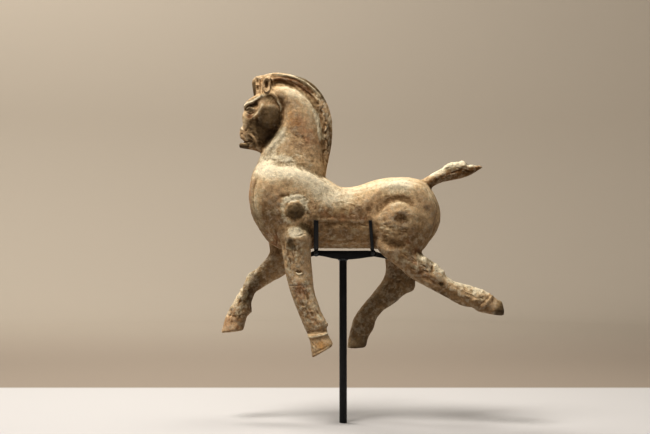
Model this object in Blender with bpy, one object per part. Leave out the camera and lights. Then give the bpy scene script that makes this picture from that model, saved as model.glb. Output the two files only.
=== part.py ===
"""A prancing pottery horse on a slim metal display stand.

The horse is one fired piece of earthenware, with its mane, tail and hooves modelled in the clay.
The stand is a round rod with a bowed bar on top, and two straps on the bar that cup the belly.
The origin is the centre of the rod's cut foot. The horse faces -X, and -Y is its left side.
"""

import math

import bmesh
import bpy
import numpy as np
from mathutils import Vector

# Driving sizes, in metres
HORSE_LENGTH = 0.283  # foremost hoof to hindmost hoof
ROD_DIAMETER = 0.0074
ROD_LENGTH = 0.161
BAR_DEPTH = 0.009  # at the rod, where the bow is deepest
BAR_END_DEPTH = 0.0046
BAR_TIP_DEPTH = 0.0030
BAR_TIP_DROP = 0.0030
BAR_WIDTH = 0.0064
STRAP_THICKNESS = 0.0016
FRONT_STRAP_WIDTH = 0.0044
REAR_STRAP_WIDTH = 0.0030
JOINT_GAP = 0.0003  # between pieces of the stand that are brazed together
SEAT_GAP = 0.0005  # between the straps and the clay

# The figure is laid out on a side view 283 parts long, from the rod's axis and the belly's underside
PARTS_LONG = 283
PART = HORSE_LENGTH / PARTS_LONG
BELLY_HEIGHT = ROD_LENGTH + JOINT_GAP + BAR_DEPTH + JOINT_GAP + STRAP_THICKNESS + SEAT_GAP

# How finely the clay is modelled
CLAY_VOXEL = 1.25  # in parts
CLAY_SMOOTHING = 5
HORSE_TRIANGLES = 8600
RING_SIDES = 32
STEPS_BETWEEN_STATIONS = 5

LEFT, RIGHT = -1, 1

# Stations of the figure, in parts. Each is one edge (x, z), the other edge (x, z), and half the width
TRUNK = [
    ((-93.5, 57), (-93.5, 47), 7),
    ((-91, 73), (-90.5, 32), 18),
    ((-86, 83), (-84, 20), 26),
    ((-79, 89), (-76, 8), 31),
    ((-69, 91), (-66, 1), 34),
    ((-56, 87), (-53, -3), 35),
    ((-43, 82), (-40, -2), 33.5),
    ((-30, 77), (-29, 0), 30),
    ((-18, 70.5), (-18, 0), 27.5),
    ((-3, 61.5), (-3, 0), 26),
    ((12, 61.5), (12, 0), 26.5),
    ((27, 66.5), (27, 0), 29),
    ((42, 70), (42, -2), 32.5),
    ((57, 71), (57, -5), 34.5),
    ((70, 70), (69, -6), 34),
    ((81, 66), (78, -3), 30.5),
    ((89, 57), (85, 6), 24),
    ((94.5, 46), (92, 15), 15.5),
    ((97, 37), (96.5, 26), 6),
]
TRUNK_SQUARENESS = 2.25

# One pad on each side fills out the shoulder, and one the haunch
SHOULDER = [
    ((-85, 64), (-84, 34), 4),
    ((-80, 75), (-78, 20), 9),
    ((-71, 79), (-69, 10), 13.5),
    ((-60, 81), (-58, 6), 16.5),
    ((-48, 80), (-46, 6), 17),
    ((-37, 76), (-36, 10), 14.5),
    ((-28, 71), (-28, 24), 10.5),
    ((-20, 66), (-20, 34), 7.5),
    ((-13, 60), (-13, 44), 4),
]
HAUNCH = [
    ((28, 57), (28, 38), 4),
    ((38, 62.5), (38, 20), 10),
    ((51, 66.5), (51, 5), 14.5),
    ((64, 66.5), (63, 0), 15.5),
    ((76, 62), (74, 2), 14),
    ((85, 53), (83, 10), 10),
    ((91.5, 42), (90, 22), 4.5),
]
PAD_SIDEWAYS = 17.8
PAD_SQUARENESS = 2.6

NECK = [
    ((-80, 50), (-24, 52), 21),
    ((-87, 77), (-19, 70), 22.5),
    ((-85, 86), (-18, 80), 21.3),
    ((-82, 94), (-19, 90), 19.8),
    ((-78, 102), (-20, 101), 18.5),
    ((-73, 110), (-21, 113), 17.5),
    ((-68, 118), (-23, 125), 16.5),
    ((-64, 127), (-27, 137), 16),
    ((-63, 136), (-33, 148), 15.5),
    ((-66, 143), (-42, 156.5), 15),
    ((-71, 147), (-53, 161), 14),
    ((-77, 150), (-64, 162), 12),
    ((-83, 152), (-74, 161), 9),
]

HEAD = [
    ((-85, 157), (-71, 160), 7.5),
    ((-90, 151), (-66, 155), 11),
    ((-96, 146), (-62, 147), 12.5),
    ((-99, 140), (-60, 137), 12.5),
    ((-98, 133.5), (-62, 127.5), 11.5),
    ((-97.5, 127.5), (-67, 118), 9.8),
    ((-98, 122), (-72, 110), 8.8),
    ((-99, 117), (-77, 103.5), 8.2),
    ((-99, 111), (-81, 97), 7.8),
    ((-98, 106.5), (-84, 96), 6.4),
]
UPPER_LIP = [
    ((-96.5, 127), (-76, 124), 8),
    ((-98.6, 122.5), (-76, 119), 8.8),
    ((-103, 118.8), (-77, 114.5), 9.2),
    ((-103.8, 115), (-78, 111.5), 9.1),
    ((-103, 111), (-80, 109), 8.2),
    ((-101, 108.6), (-82, 108), 6.8),
]
LOWER_LIP = [
    ((-86, 107.5), (-85, 97), 6.4),
    ((-94, 108), (-92, 98.8), 6.6),
    ((-100, 106), (-99, 99.8), 5.4),
    ((-104.4, 103), (-104, 100.6), 3.4),
]
FORELOCK = [
    ((-88, 171.5), (-79, 173.5), 3.5),
    ((-91, 168), (-78, 170), 5.5),
    ((-91, 163), (-77, 163), 6.5),
    ((-90, 156), (-76, 155), 7),
    ((-88.5, 149), (-76, 148), 6),
]
MANE = [
    ((-84, 164), (-85, 173), 3.6),
    ((-76, 163), (-78, 174.5), 4.6),
    ((-68, 161), (-69, 176.3), 5.2),
    ((-58, 160), (-57, 175.2), 5.4),
    ((-48, 157.5), (-45, 172.5), 5.4),
    ((-39, 151), (-33, 167.3), 5.3),
    ((-33, 143), (-22.5, 157), 5.2),
    ((-28, 133), (-15, 143.5), 5.2),
    ((-25, 122), (-11.3, 130), 5),
    ((-23.5, 111), (-10.3, 117), 4.8),
    ((-22.5, 99), (-11.5, 103.5), 4.5),
    ((-22, 87), (-14, 90.5), 4.2),
    ((-21.5, 77), (-16.3, 79), 3.6),
    ((-20.5, 70), (-17.2, 72.5), 2.6),
]
TAIL = [
    ((75, 66), (79, 50), 7),
    ((82.5, 70.5), (87.5, 59), 5.6),
    ((90, 75), (93, 63.5), 4.6),
    ((97.5, 79), (101, 66.5), 5.2),
    ((104, 84), (108, 68), 6.3),
    ((112, 86), (116, 69.5), 6.8),
    ((120, 86.5), (124, 71.8), 6.2),
    ((128, 83), (130, 74.5), 4.6),
    ((135, 82.8), (136, 78.5), 3),
    ((140.5, 82), (140.5, 80.5), 1.3),
]
EAR = [
    ((-80, 154), (-72, 155), 3.6),
    ((-80.5, 158), (-71.5, 159), 4),
    ((-80.5, 163), (-71.5, 164), 3.8),
    ((-79, 168), (-72, 169), 3),
    ((-76, 171.5), (-72.5, 172), 1.4),
]
EAR_SIDEWAYS = 9.5

# The legs' stations give the y of their middle as well
LEFT_FORELEG = [
    ((-56, 29), (-40, 30), 9, -19),
    ((-60.5, 23), (-34, 23.5), 12.3, -20),
    ((-62, 15.5), (-31, 15.5), 13.8, -21),
    ((-60.5, 7), (-31.5, 7), 13.2, -21.5),
    ((-60, -1.5), (-32, -1.5), 11.8, -21.5),
    ((-58.5, -12), (-31.5, -12), 10.6, -21.5),
    ((-56.5, -24), (-30.5, -22), 9.8, -21.5),
    ((-53.5, -36.5), (-29.5, -33.5), 9.2, -21.5),
    ((-50.5, -46.5), (-28, -43.5), 8.8, -21),
    ((-46, -58), (-24.8, -53), 8.3, -21),
    ((-42, -68), (-21.5, -63), 8.2, -20.5),
    ((-39, -75), (-16.5, -72), 8.8, -20.5),
    ((-36, -81.5), (-16.3, -78.5), 8.2, -20),
    ((-33.5, -88), (-15, -84.5), 8.9, -20),
    ((-31.5, -96.5), (-11.5, -90.5), 9.8, -20),
    ((-30.7, -106.8), (-10, -94.5), 10.4, -20),
]
RIGHT_FORELEG = [
    ((-76, 24), (-44, 17), 12.5, 19),
    ((-75, 6), (-46, -2), 12.3, 21),
    ((-74, -3.5), (-51, -14.5), 11.4, 21.5),
    ((-79, -12), (-58, -26), 10.6, 21.5),
    ((-88, -21), (-71.5, -33.5), 9.6, 21.5),
    ((-96, -26), (-82.5, -40.5), 9.2, 21.5),
    ((-100.5, -36), (-89, -44.5), 8.8, 21),
    ((-105, -44.5), (-91.5, -50.5), 8.3, 21),
    ((-111.5, -55), (-93, -56.5), 8, 20.5),
    ((-116, -63.5), (-92.5, -63.8), 8.6, 20.5),
    ((-119, -70), (-97, -69), 8.4, 20),
    ((-121, -78), (-99.5, -77), 9.3, 20),
    ((-123.6, -85.3), (-101, -82.8), 10, 20),
]
LEFT_HIND_LEG = [
    ((28.5, 34), (90, 34), 15, -18),
    ((29.5, 18), (88, 17), 16.5, -18),
    ((31, 5.5), (80.5, 5.5), 15.5, -19),
    ((36, -4.5), (76.5, -3.5), 13.3, -20),
    ((45.5, -12.3), (78.5, -7.5), 11.8, -21),
    ((55.5, -20), (86, -12.5), 11, -21.5),
    ((64, -28), (93, -17.5), 10.4, -21.5),
    ((75.5, -34.8), (99, -26), 9.8, -21.5),
    ((87, -40.8), (106, -31), 8.8, -21.5),
    ((100, -47.5), (115.5, -34.5), 8.3, -21.5),
    ((111.5, -54.3), (126.5, -37.5), 8.3, -21),
    ((120.5, -57.3), (136, -40.8), 8.8, -21),
    ((125.5, -57.5), (143, -44.8), 8.4, -21),
    ((132, -62), (148, -48.3), 9, -20.5),
    ((144, -64.5), (152, -51.8), 9.6, -20.5),
    ((156.4, -66.3), (153.6, -50), 10, -20.5),
]
RIGHT_HIND_LEG = [
    ((34, 14), (78, 14), 15, 18),
    ((40.5, -1.5), (78, -5.5), 13, 19.5),
    ((43.8, -14), (76, -20), 11.6, 21),
    ((44, -23), (74, -32.5), 10.6, 21.5),
    ((40.5, -32.5), (72.5, -41.5), 10, 21.5),
    ((33, -42.5), (62.5, -46.8), 9.4, 21.5),
    ((23.5, -54), (52, -56), 8.8, 21.5),
    ((15.5, -64), (41, -63), 8.4, 21),
    ((10.3, -73.3), (33.8, -71.8), 8.4, 21),
    ((7.8, -83.5), (31, -81.5), 8.9, 20.5),
    ((6.2, -90.5), (26, -89.5), 8.8, 20.5),
    ((4.7, -100.7), (23.5, -99.8), 9.9, 20.5),
]

# The stand's bar along the belly: x in parts, share of the bow's depth, share of the tip's slant
BAR = [
    (-37, 0, 1),
    (-30, 0.12, 0.15),
    (-24, 0.1, 0),
    (-18, 0.3, 0),
    (-12, 0.62, 0),
    (-6, 0.86, 0),
    (0, 1, 0),
    (8, 0.92, 0),
    (16, 0.76, 0),
    (24, 0.5, 0),
    (31, 0.2, 0),
    (38, 0.1, 0.45),
    (46, 0, 1),
]
# Where each strap crosses the bar and where its prongs end, in parts
FRONT_STRAP = (-26.8, -26.6)
REAR_STRAP = (29.6, 25.9)
PRONG_HEIGHT = 27
STRAP_STEPS = 28


def clear_scene():
    for obj in list(bpy.data.objects):
        bpy.data.objects.remove(obj)


def material(name, colour, roughness, metallic=0.0):
    """A plain Principled finish."""
    made = bpy.data.materials.new(name)
    made.use_nodes = True
    shader = made.node_tree.nodes["Principled BSDF"]
    shader.inputs["Base Color"].default_value = (*colour, 1.0)
    shader.inputs["Roughness"].default_value = roughness
    shader.inputs["Metallic"].default_value = metallic
    return made


def object_from(name, mesh, finish):
    """A named object that holds this mesh, shaded smooth but for its sharp edges."""
    obj = bpy.data.objects.new(name, mesh)
    bpy.context.scene.collection.objects.link(obj)
    mesh.materials.append(finish)
    mesh.shade_smooth()
    mesh.set_sharp_from_angle(angle=math.radians(40))
    return obj


def curve_through(rows, steps):
    """Rows of numbers on a Catmull-Rom curve through the given rows, with steps to each stretch."""
    rows = np.array(rows, float)
    whole = np.vstack([2 * rows[0] - rows[1], rows, 2 * rows[-1] - rows[-2]])
    made = []
    for before, start, end, after in zip(whole, whole[1:], whole[2:], whole[3:]):
        for t in np.linspace(0, 1, steps, endpoint=False):
            bend = 2 * before - 5 * start + 4 * end - after
            twist = 3 * start - before - 3 * end + after
            made.append(start + 0.5 * ((end - before) * t + bend * t**2 + twist * t**3))
    made.append(rows[-1])
    return np.array(made)


def ring_points(edge_a, edge_b, half_width, middle, squareness):
    """Points of one section, round from edge a over the +Y side to edge b and back."""
    points = []
    for k in range(RING_SIDES):
        angle = 2 * math.pi * k / RING_SIDES
        across = math.copysign(abs(math.cos(angle)) ** (2 / squareness), math.cos(angle))
        sideways = math.copysign(abs(math.sin(angle)) ** (2 / squareness), math.sin(angle))
        along = (edge_a + edge_b) / 2 + (edge_a - edge_b) / 2 * across
        points.append(Vector((along[0], middle + half_width * sideways, along[1])))
    return points


def add_loft(clay, stations, squareness=2.0, middle=0.0):
    """Adds a closed body to the clay, lofted through its stations, in parts."""
    rows = [(*a, *b, width, *(more or (middle,))) for a, b, width, *more in stations]
    rings = []
    for row in curve_through(rows, STEPS_BETWEEN_STATIONS):
        points = ring_points(row[0:2], row[2:4], row[4], row[5], squareness)
        rings.append([clay.verts.new(point) for point in points])
    faces = []
    for ring, following in zip(rings, rings[1:]):
        for k in range(RING_SIDES):
            after = (k + 1) % RING_SIDES
            faces.append(clay.faces.new((ring[k], ring[after], following[after], following[k])))
    for ring in (rings[0], rings[-1]):
        centre = clay.verts.new(sum((v.co for v in ring), Vector()) / RING_SIDES)
        for k in range(RING_SIDES):
            faces.append(clay.faces.new((ring[k], ring[(k + 1) % RING_SIDES], centre)))
    bmesh.ops.recalc_face_normals(clay, faces=faces)


def fused(clay):
    """The clay's bodies pressed into one closed skin, with the joins smoothed by hand."""
    mesh = bpy.data.meshes.new("clay")
    clay.to_mesh(mesh)
    clay.free()
    lump = bpy.data.objects.new("clay", mesh)
    bpy.context.scene.collection.objects.link(lump)
    remesh = lump.modifiers.new("Remesh", "REMESH")
    remesh.mode = "VOXEL"
    remesh.voxel_size = CLAY_VOXEL
    smooth = lump.modifiers.new("Smooth", "SMOOTH")
    smooth.factor = 0.5
    smooth.iterations = CLAY_SMOOTHING
    graph = bpy.context.evaluated_depsgraph_get()
    skin = bpy.data.meshes.new_from_object(lump.evaluated_get(graph))
    bpy.data.objects.remove(lump)
    return skin


class Carving:
    """Moves the points of a mesh along their normals, as a modelling tool pressed into clay."""

    def __init__(self, mesh):
        self.mesh = mesh
        self.points = np.zeros(len(mesh.vertices) * 3)
        mesh.vertices.foreach_get("co", self.points)
        self.points = self.points.reshape(-1, 3)
        self.read_normals()

    def read_normals(self):
        normals = np.zeros(len(self.mesh.vertices) * 3)
        self.mesh.vertices.foreach_get("normal", normals)
        self.normals = normals.reshape(-1, 3)

    def finish(self):
        self.mesh.vertices.foreach_set("co", self.points.ravel())
        self.mesh.update()
        self.read_normals()

    def facing(self, side):
        """How far each point faces the horse's left or right side, or either side where side is 0."""
        sideways = self.normals[:, 1] * side if side else abs(self.normals[:, 1])
        return np.clip((sideways - 0.05) / 0.4, 0, 1)

    def along(self, path):
        """Each point's distance, seen from the side, to a path, and how far along the path it is."""
        places = curve_through(path, 6) if len(path) > 2 else np.array(path, float)
        flat = self.points[:, [0, 2]]
        nearest = np.full(len(flat), np.inf)
        place = np.zeros(len(flat))
        for k, (start, end) in enumerate(zip(places, places[1:])):
            line = end - start
            share = np.clip((flat - start) @ line / (line @ line), 0, 1)
            away = np.linalg.norm(flat - start - share[:, None] * line, axis=1)
            closer = away < nearest
            nearest[closer] = away[closer]
            place[closer] = (k + share[closer]) / (len(places) - 1)
        return nearest, place

    def stroke(self, path, width, height, side=0, fade=0.25):
        """A ridge, or a groove where height is below 0, that fades out towards the path's ends."""
        away, place = self.along(path)
        share = np.clip(1 - (away / width) ** 2, 0, 1) ** 2
        share *= np.clip(np.minimum(place, 1 - place) / fade, 0, 1) ** 0.7
        self.points += self.normals * (height * share * self.facing(side))[:, None]

    def dome(self, centre, radius, height, side=0, rim=0.5):
        """A raised or sunken disc, whose edge falls away over the outer share rim of its radius."""
        away = np.linalg.norm(self.points[:, [0, 2]] - np.array(centre), axis=1) / radius
        share = np.clip((1 - away) / rim, 0, 1)
        share = share * share * (3 - 2 * share)
        self.points += self.normals * (height * share * self.facing(side))[:, None]


def press_clay_together():
    """The whole figure as one closed skin, in parts."""
    clay = bmesh.new()
    add_loft(clay, TRUNK, TRUNK_SQUARENESS)
    add_loft(clay, NECK, 2.1)
    add_loft(clay, HEAD, 2.3)
    add_loft(clay, UPPER_LIP, 2.6)
    add_loft(clay, LOWER_LIP)
    add_loft(clay, FORELOCK)
    add_loft(clay, MANE)
    add_loft(clay, TAIL)
    for side in (LEFT, RIGHT):
        add_loft(clay, EAR, middle=side * EAR_SIDEWAYS)
        add_loft(clay, SHOULDER, PAD_SQUARENESS, side * PAD_SIDEWAYS)
        add_loft(clay, HAUNCH, PAD_SQUARENESS, side * PAD_SIDEWAYS)
    for leg in (LEFT_FORELEG, RIGHT_FORELEG, LEFT_HIND_LEG, RIGHT_HIND_LEG):
        add_loft(clay, leg, 2.2)
    return fused(clay)


def carve_body(tool):
    """The bosses on shoulder and haunch, and the folds that the modeller drew round the muscles."""
    shoulder, haunch = (-47, 37.5), (55.5, 29.5)
    tool.stroke([(-70, 40), (-66, 50), (-57, 55), (-46, 55), (-36, 50)], 6.5, -2.2)
    tool.dome(shoulder, 15, 3.2, rim=0.55)
    tool.dome(shoulder, 9.5, -2.6, rim=0.45)
    tool.dome(shoulder, 6, 1.0, rim=1)
    tool.stroke([(25, 30), (30, 41), (40, 48), (53, 51), (64, 47), (73, 38)], 8.5, -3.8)
    tool.dome(haunch, 19, 4.6, rim=0.8)
    tool.dome((55.5, 28.5), 11, -3.4, rim=0.9)
    tool.stroke([(32, 28), (36, 19), (45, 13), (57, 11)], 6, 1.2)
    tool.stroke([(36, 6), (48, 4), (62, 6)], 8, -1.8)
    tool.stroke([(-84, 74), (-88.5, 60), (-88.5, 43), (-84, 28), (-76, 12)], 3.2, -1.3)
    tool.stroke([(78, 66), (88, 54), (92, 40), (91, 26), (84, 8)], 3.2, -1.1)
    tool.stroke([(-30, 28), (-8, 26.5), (12, 27), (30, 29)], 4, 0.8)
    tool.stroke([(-86, 84), (-70, 82), (-52, 81), (-36, 78), (-20, 70)], 3.5, -0.9)
    tool.stroke([(-54, 124), (-64, 111), (-72, 100), (-79, 91)], 4, 1.5)


def carve_head(tool):
    """Brow, eye, cheek plate, nostril and the line of the mouth."""
    tool.dome((-73, 133), 14.5, 1.6, rim=0.25)
    tool.stroke([(-84, 150), (-73, 155), (-65, 149), (-61, 136)], 3, 1.4)
    tool.stroke([(-103, 139), (-96, 144.5), (-88, 149), (-76, 153)], 3, 1.9)
    tool.stroke([(-78, 150), (-83, 141), (-88, 133.5), (-93, 127)], 2.8, 1.5)
    tool.dome((-92.5, 138), 6.5, -1.5, rim=0.9)
    tool.dome((-93.5, 138), 4, 1.7, rim=0.8)
    tool.dome((-101, 116.5), 2.4, -1.3, rim=0.9)
    tool.stroke([(-107, 107), (-98, 108), (-92, 110), (-86, 113)], 1.8, -1.3)
    tool.stroke([(-90, 120), (-87, 110), (-85, 101)], 2.6, 0.9)


def carve_mane_and_tail(tool):
    """Grooves along the clipped mane, the hollows of the ears, and the tail's lumpy tuft."""
    tool.stroke([(-76, 165), (-58, 167), (-45, 163), (-34, 155), (-22, 138)], 2.6, -1.5)
    tool.stroke([(-21, 136), (-17.5, 120), (-18, 104), (-20, 84)], 2.2, -1.1)
    tool.dome((-76, 162.5), 3.4, -2.4, rim=0.8)
    tool.dome((-86.5, 171), 3, 1.2, rim=1)
    for x, z, raised in ((106, 82, 1.6), (113, 83, 1.4), (120, 83, 1.8), (129, 81, 1.2)):
        tool.dome((x, z), 4.5, raised, rim=0.9)
    tool.stroke([(98, 76), (114, 76.5), (132, 77.5)], 2.5, -1.2)


def carve_legs(tool):
    """The caps of the forearms, the knees and hocks, the fetlocks' spurs and the coronets."""
    tool.dome((-46, 11), 15, 1.8, LEFT, rim=0.8)
    tool.stroke([(-50, 27), (-42, 25), (-35, 20), (-29, 12)], 5, -1.6, LEFT)
    tool.stroke([(-64, 22), (-63, 8), (-60, -8)], 3.5, 1.4, LEFT)
    tool.stroke([(-60, 18), (-59.5, 6), (-57, -6)], 2.5, -1.2, LEFT)
    tool.dome((-44, -33), 11, 1.2, LEFT, rim=1)
    tool.dome((-45, -24), 4, -1.4, LEFT, rim=1)
    tool.dome((-89, -32), 10, 1.2, RIGHT, rim=1)
    tool.stroke([(-40, -86), (-25, -84.5), (-10, -83)], 2.4, 1.6, LEFT)
    tool.stroke([(-40, -81.5), (-26, -80.5), (-12, -78)], 2.2, -1.2, LEFT)
    tool.stroke([(-127, -76), (-110, -74), (-94, -72)], 2.4, 1.4, RIGHT)
    tool.stroke([(126, -66), (138, -54), (150, -40)], 2.4, 1.3, LEFT)
    tool.stroke([(0, -93), (16, -92), (32, -90)], 2.4, 1.2, RIGHT)
    tool.dome((82, -11), 9, 1.8, LEFT, rim=1)
    tool.dome((97, -23), 8, 1.6, LEFT, rim=1)
    tool.dome((85, -21), 5, -1.8, LEFT, rim=1)
    tool.stroke([(77, -4), (84, -12), (92, -18)], 2.4, -1.2, LEFT)
    tool.stroke([(74, -26), (90, -33), (106, -40)], 4, -1.2, LEFT)
    tool.dome((63, -34), 10, 1.2, RIGHT, rim=1)


def make_horse(clay_finish):
    skin = press_clay_together()
    tool = Carving(skin)
    for carve in (carve_body, carve_head, carve_mane_and_tail, carve_legs):
        carve(tool)
        tool.finish()
    tool.points = tool.points * PART + np.array([0, 0, BELLY_HEIGHT])
    tool.finish()
    horse = object_from("horse", skin, clay_finish)
    decimate = horse.modifiers.new("Decimate", "DECIMATE")
    decimate.ratio = HORSE_TRIANGLES / sum(len(face.vertices) - 2 for face in skin.polygons)
    decimate.use_collapse_triangulate = True
    return horse


def belly_section(x):
    """Height of the trunk's underside, half its height and half its width at x, in metres."""
    rows = curve_through([(*a, *b, width) for a, b, width in TRUNK], STEPS_BETWEEN_STATIONS)
    middle_x = (rows[:, 0] + rows[:, 2]) / 2
    top, low, width = (float(np.interp(x / PART, middle_x, rows[:, k])) * PART for k in (1, 3, 4))
    return low, (top - low) / 2, width


def object_from_rings(name, rings, metal):
    """A closed solid through rings with the same number of corners, each ring a list of points."""
    shape = bmesh.new()
    rows = [[shape.verts.new(point) for point in ring] for ring in rings]
    for row, following in zip(rows, rows[1:]):
        for k in range(len(row)):
            after = (k + 1) % len(row)
            shape.faces.new((row[k], row[after], following[after], following[k]))
    shape.faces.new(rows[0])
    shape.faces.new(rows[-1])
    bmesh.ops.recalc_face_normals(shape, faces=shape.faces)
    mesh = bpy.data.meshes.new(name)
    shape.to_mesh(mesh)
    shape.free()
    return object_from(name, mesh, metal)


def make_bar(metal):
    """The bar under the belly: deepest over the rod, with both tips slanting down between the legs."""
    rings = []
    for x, bow, slant in BAR:
        top = belly_section(x * PART)[0] - SEAT_GAP - STRAP_THICKNESS - JOINT_GAP
        top += BELLY_HEIGHT - slant * BAR_TIP_DROP
        depth = BAR_END_DEPTH + (BAR_DEPTH - BAR_END_DEPTH) * bow
        depth += (BAR_TIP_DEPTH - BAR_END_DEPTH) * slant
        half = BAR_WIDTH / 2
        corners = [(-half, top), (half, top), (half, top - depth), (-half, top - depth)]
        rings.append([Vector((x * PART, y, z)) for y, z in corners])
    return object_from_rings("saddle_bar", rings, metal)


def strap_edge(x_low, x_high, shift, angle, reach):
    """One point of the belly's skin under a strap's edge, and the skin's outward direction there."""
    lean = abs(angle) / reach
    low, half_height, half_width = belly_section((x_low + (x_high - x_low) * lean) * PART + shift)
    points = []
    for turn in (angle - 0.01, angle, angle + 0.01):
        across = math.copysign(abs(math.sin(turn)) ** (2 / TRUNK_SQUARENESS), math.sin(turn))
        down = abs(math.cos(turn)) ** (2 / TRUNK_SQUARENESS)
        points.append(Vector((0, half_width * across, low + half_height * (1 - down))))
    run = (points[2] - points[0]).normalized()
    place = points[1] + Vector(((x_low + (x_high - x_low) * lean) * PART + shift, 0, BELLY_HEIGHT))
    return place, Vector((0, run.z, -run.y))


def make_strap(name, crossing, width, metal):
    """A flat strap that cups the belly, with a prong up each flank."""
    x_low, x_high = crossing
    half_height = belly_section(x_high * PART)[1]
    reach = math.acos((1 - PRONG_HEIGHT * PART / half_height) ** (TRUNK_SQUARENESS / 2))
    rings = []
    for k in range(STRAP_STEPS + 1):
        angle = reach * (2 * k / STRAP_STEPS - 1)
        corners = []
        for shift in (-width / 2, width / 2):
            place, outward = strap_edge(x_low, x_high, shift, angle, reach)
            corners.append(place + outward * SEAT_GAP)
            corners.append(place + outward * (SEAT_GAP + STRAP_THICKNESS))
        rings.append([corners[0], corners[1], corners[3], corners[2]])
    return object_from_rings(name, rings, metal)


def make_rod(metal):
    bpy.ops.mesh.primitive_cylinder_add(vertices=48, radius=ROD_DIAMETER / 2, depth=ROD_LENGTH)
    rod = bpy.context.object
    rod.name = "stand_rod"
    rod.location.z = ROD_LENGTH / 2
    rod.data.materials.append(metal)
    rod.data.shade_smooth()
    rod.data.set_sharp_from_angle(angle=math.radians(40))
    return rod


def make_all():
    clear_scene()
    clay_finish = material("earthenware", (0.46, 0.34, 0.21), 0.85)
    metal = material("blackened_steel", (0.012, 0.012, 0.014), 0.45, 0.6)
    make_horse(clay_finish)
    make_rod(metal)
    make_bar(metal)
    make_strap("front_strap", FRONT_STRAP, FRONT_STRAP_WIDTH, metal)
    make_strap("rear_strap", REAR_STRAP, REAR_STRAP_WIDTH, metal)


make_all()
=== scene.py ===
# %% [markdown]
# # A pottery horse on its display stand
# A prancing horse of fired clay, buried for a long time and then cleaned, rests on a slim black stand.
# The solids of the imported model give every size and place. This lesson dresses them: it models the
# worn, pitted clay over the solid horse, lays slip, soil and stains on it, and finishes the stand.

import math

import bpy
import numpy as np
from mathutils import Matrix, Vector, noise


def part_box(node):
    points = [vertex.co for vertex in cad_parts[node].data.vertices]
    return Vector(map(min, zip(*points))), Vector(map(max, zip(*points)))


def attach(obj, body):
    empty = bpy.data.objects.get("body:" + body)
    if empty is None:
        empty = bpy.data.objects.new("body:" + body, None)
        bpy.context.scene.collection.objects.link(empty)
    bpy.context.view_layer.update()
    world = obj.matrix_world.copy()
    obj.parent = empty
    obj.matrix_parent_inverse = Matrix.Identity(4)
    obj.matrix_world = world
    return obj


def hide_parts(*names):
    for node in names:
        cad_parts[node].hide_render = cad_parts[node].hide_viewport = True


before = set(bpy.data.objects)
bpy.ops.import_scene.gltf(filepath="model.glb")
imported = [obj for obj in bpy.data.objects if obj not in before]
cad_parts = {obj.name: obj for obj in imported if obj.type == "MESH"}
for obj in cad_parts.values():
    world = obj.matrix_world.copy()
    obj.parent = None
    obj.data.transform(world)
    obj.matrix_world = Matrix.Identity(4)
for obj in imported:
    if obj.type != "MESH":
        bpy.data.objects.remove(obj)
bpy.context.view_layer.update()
bpy.ops.object.select_all(action="DESELECT")
print("solids:", sorted(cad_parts))

# %% [markdown]
# ## The camera
# The horse is seen from its left, square on, from about a metre away and level with its belly.
# The camera tips up by two degrees, which puts the horse above the middle of the picture, so no
# lens shift is needed.

# %% Place the camera
CAMERA_PLACE = Vector((-0.018, -1.04, 0.162))
CAMERA_TILT = 2.31
SENSOR_WIDTH, LENS_LENGTH = 36, 57.7
VIEW_GAMMA = 0.88
bpy.ops.object.camera_add(location=CAMERA_PLACE, rotation=(math.radians(90 + CAMERA_TILT), 0, 0))
camera = bpy.context.object
camera.data.sensor_width = SENSOR_WIDTH
camera.data.lens = LENS_LENGTH
bpy.context.scene.camera = camera
bpy.context.scene.view_settings.view_transform = "Standard"
bpy.context.scene.view_settings.gamma = VIEW_GAMMA
print("camera at", tuple(round(v, 3) for v in camera.location))

# %% [markdown]
# ## The floor and the backdrop
# A photographer's cove has no corner between floor and wall: the paper lies flat, bends up in one
# round curve and goes on as the wall. Here it runs all the way round, so the horse stands before
# plain paper from every side. A filled circle is the floor, and its rim is pulled out and up step by
# step along a quarter circle, and then straight up, as one would do by hand in edit mode.
# The paper is pale under the horse and darker behind it and all round, so that little light comes
# back from it and the flanks stay shaded.

# %% Model the paper cove
COVE_FLOOR = 1.7
COVE_CURVE = 0.6
COVE_STEPS = 16
COVE_HEIGHT = 2.4
COVE_SIDES = 128

bpy.ops.mesh.primitive_circle_add(vertices=COVE_SIDES, radius=COVE_FLOOR, fill_type="NGON")
cove = bpy.context.object
cove.name = "paper_cove"
bpy.ops.object.mode_set(mode="EDIT")
bpy.ops.mesh.select_mode(type="EDGE")
bpy.ops.mesh.select_all(action="SELECT")
rim_radius, rim_height = COVE_FLOOR, 0
for step in range(1, COVE_STEPS + 1):
    bend = math.radians(90) * step / COVE_STEPS
    radius = COVE_FLOOR + COVE_CURVE * math.sin(bend)
    height = COVE_CURVE * (1 - math.cos(bend))
    bpy.ops.mesh.extrude_edges_move(TRANSFORM_OT_translate={"value": (0, 0, height - rim_height)})
    grown = radius / rim_radius
    bpy.ops.transform.resize(value=(grown, grown, 1))
    rim_radius, rim_height = radius, height
bpy.ops.mesh.extrude_edges_move(TRANSFORM_OT_translate={"value": (0, 0, COVE_HEIGHT - rim_height)})
bpy.ops.mesh.select_all(action="SELECT")
bpy.ops.mesh.normals_make_consistent(inside=True)
bpy.ops.object.mode_set(mode="OBJECT")
bpy.ops.object.shade_smooth()
for face in cove.data.polygons:
    face.use_smooth = len(face.vertices) == 4
reach = max(vertex.co.xy.length for vertex in cove.data.vertices)
print("the cove is", round(2 * reach, 2), "m across, with", len(cove.data.polygons), "faces")

# %% A small kit for shader nodes
# A Mix node has sockets for numbers, vectors and colours. These are its colour sockets.
MIX_BELOW, MIX_ABOVE, MIX_RESULT = 6, 7, 2


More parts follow.
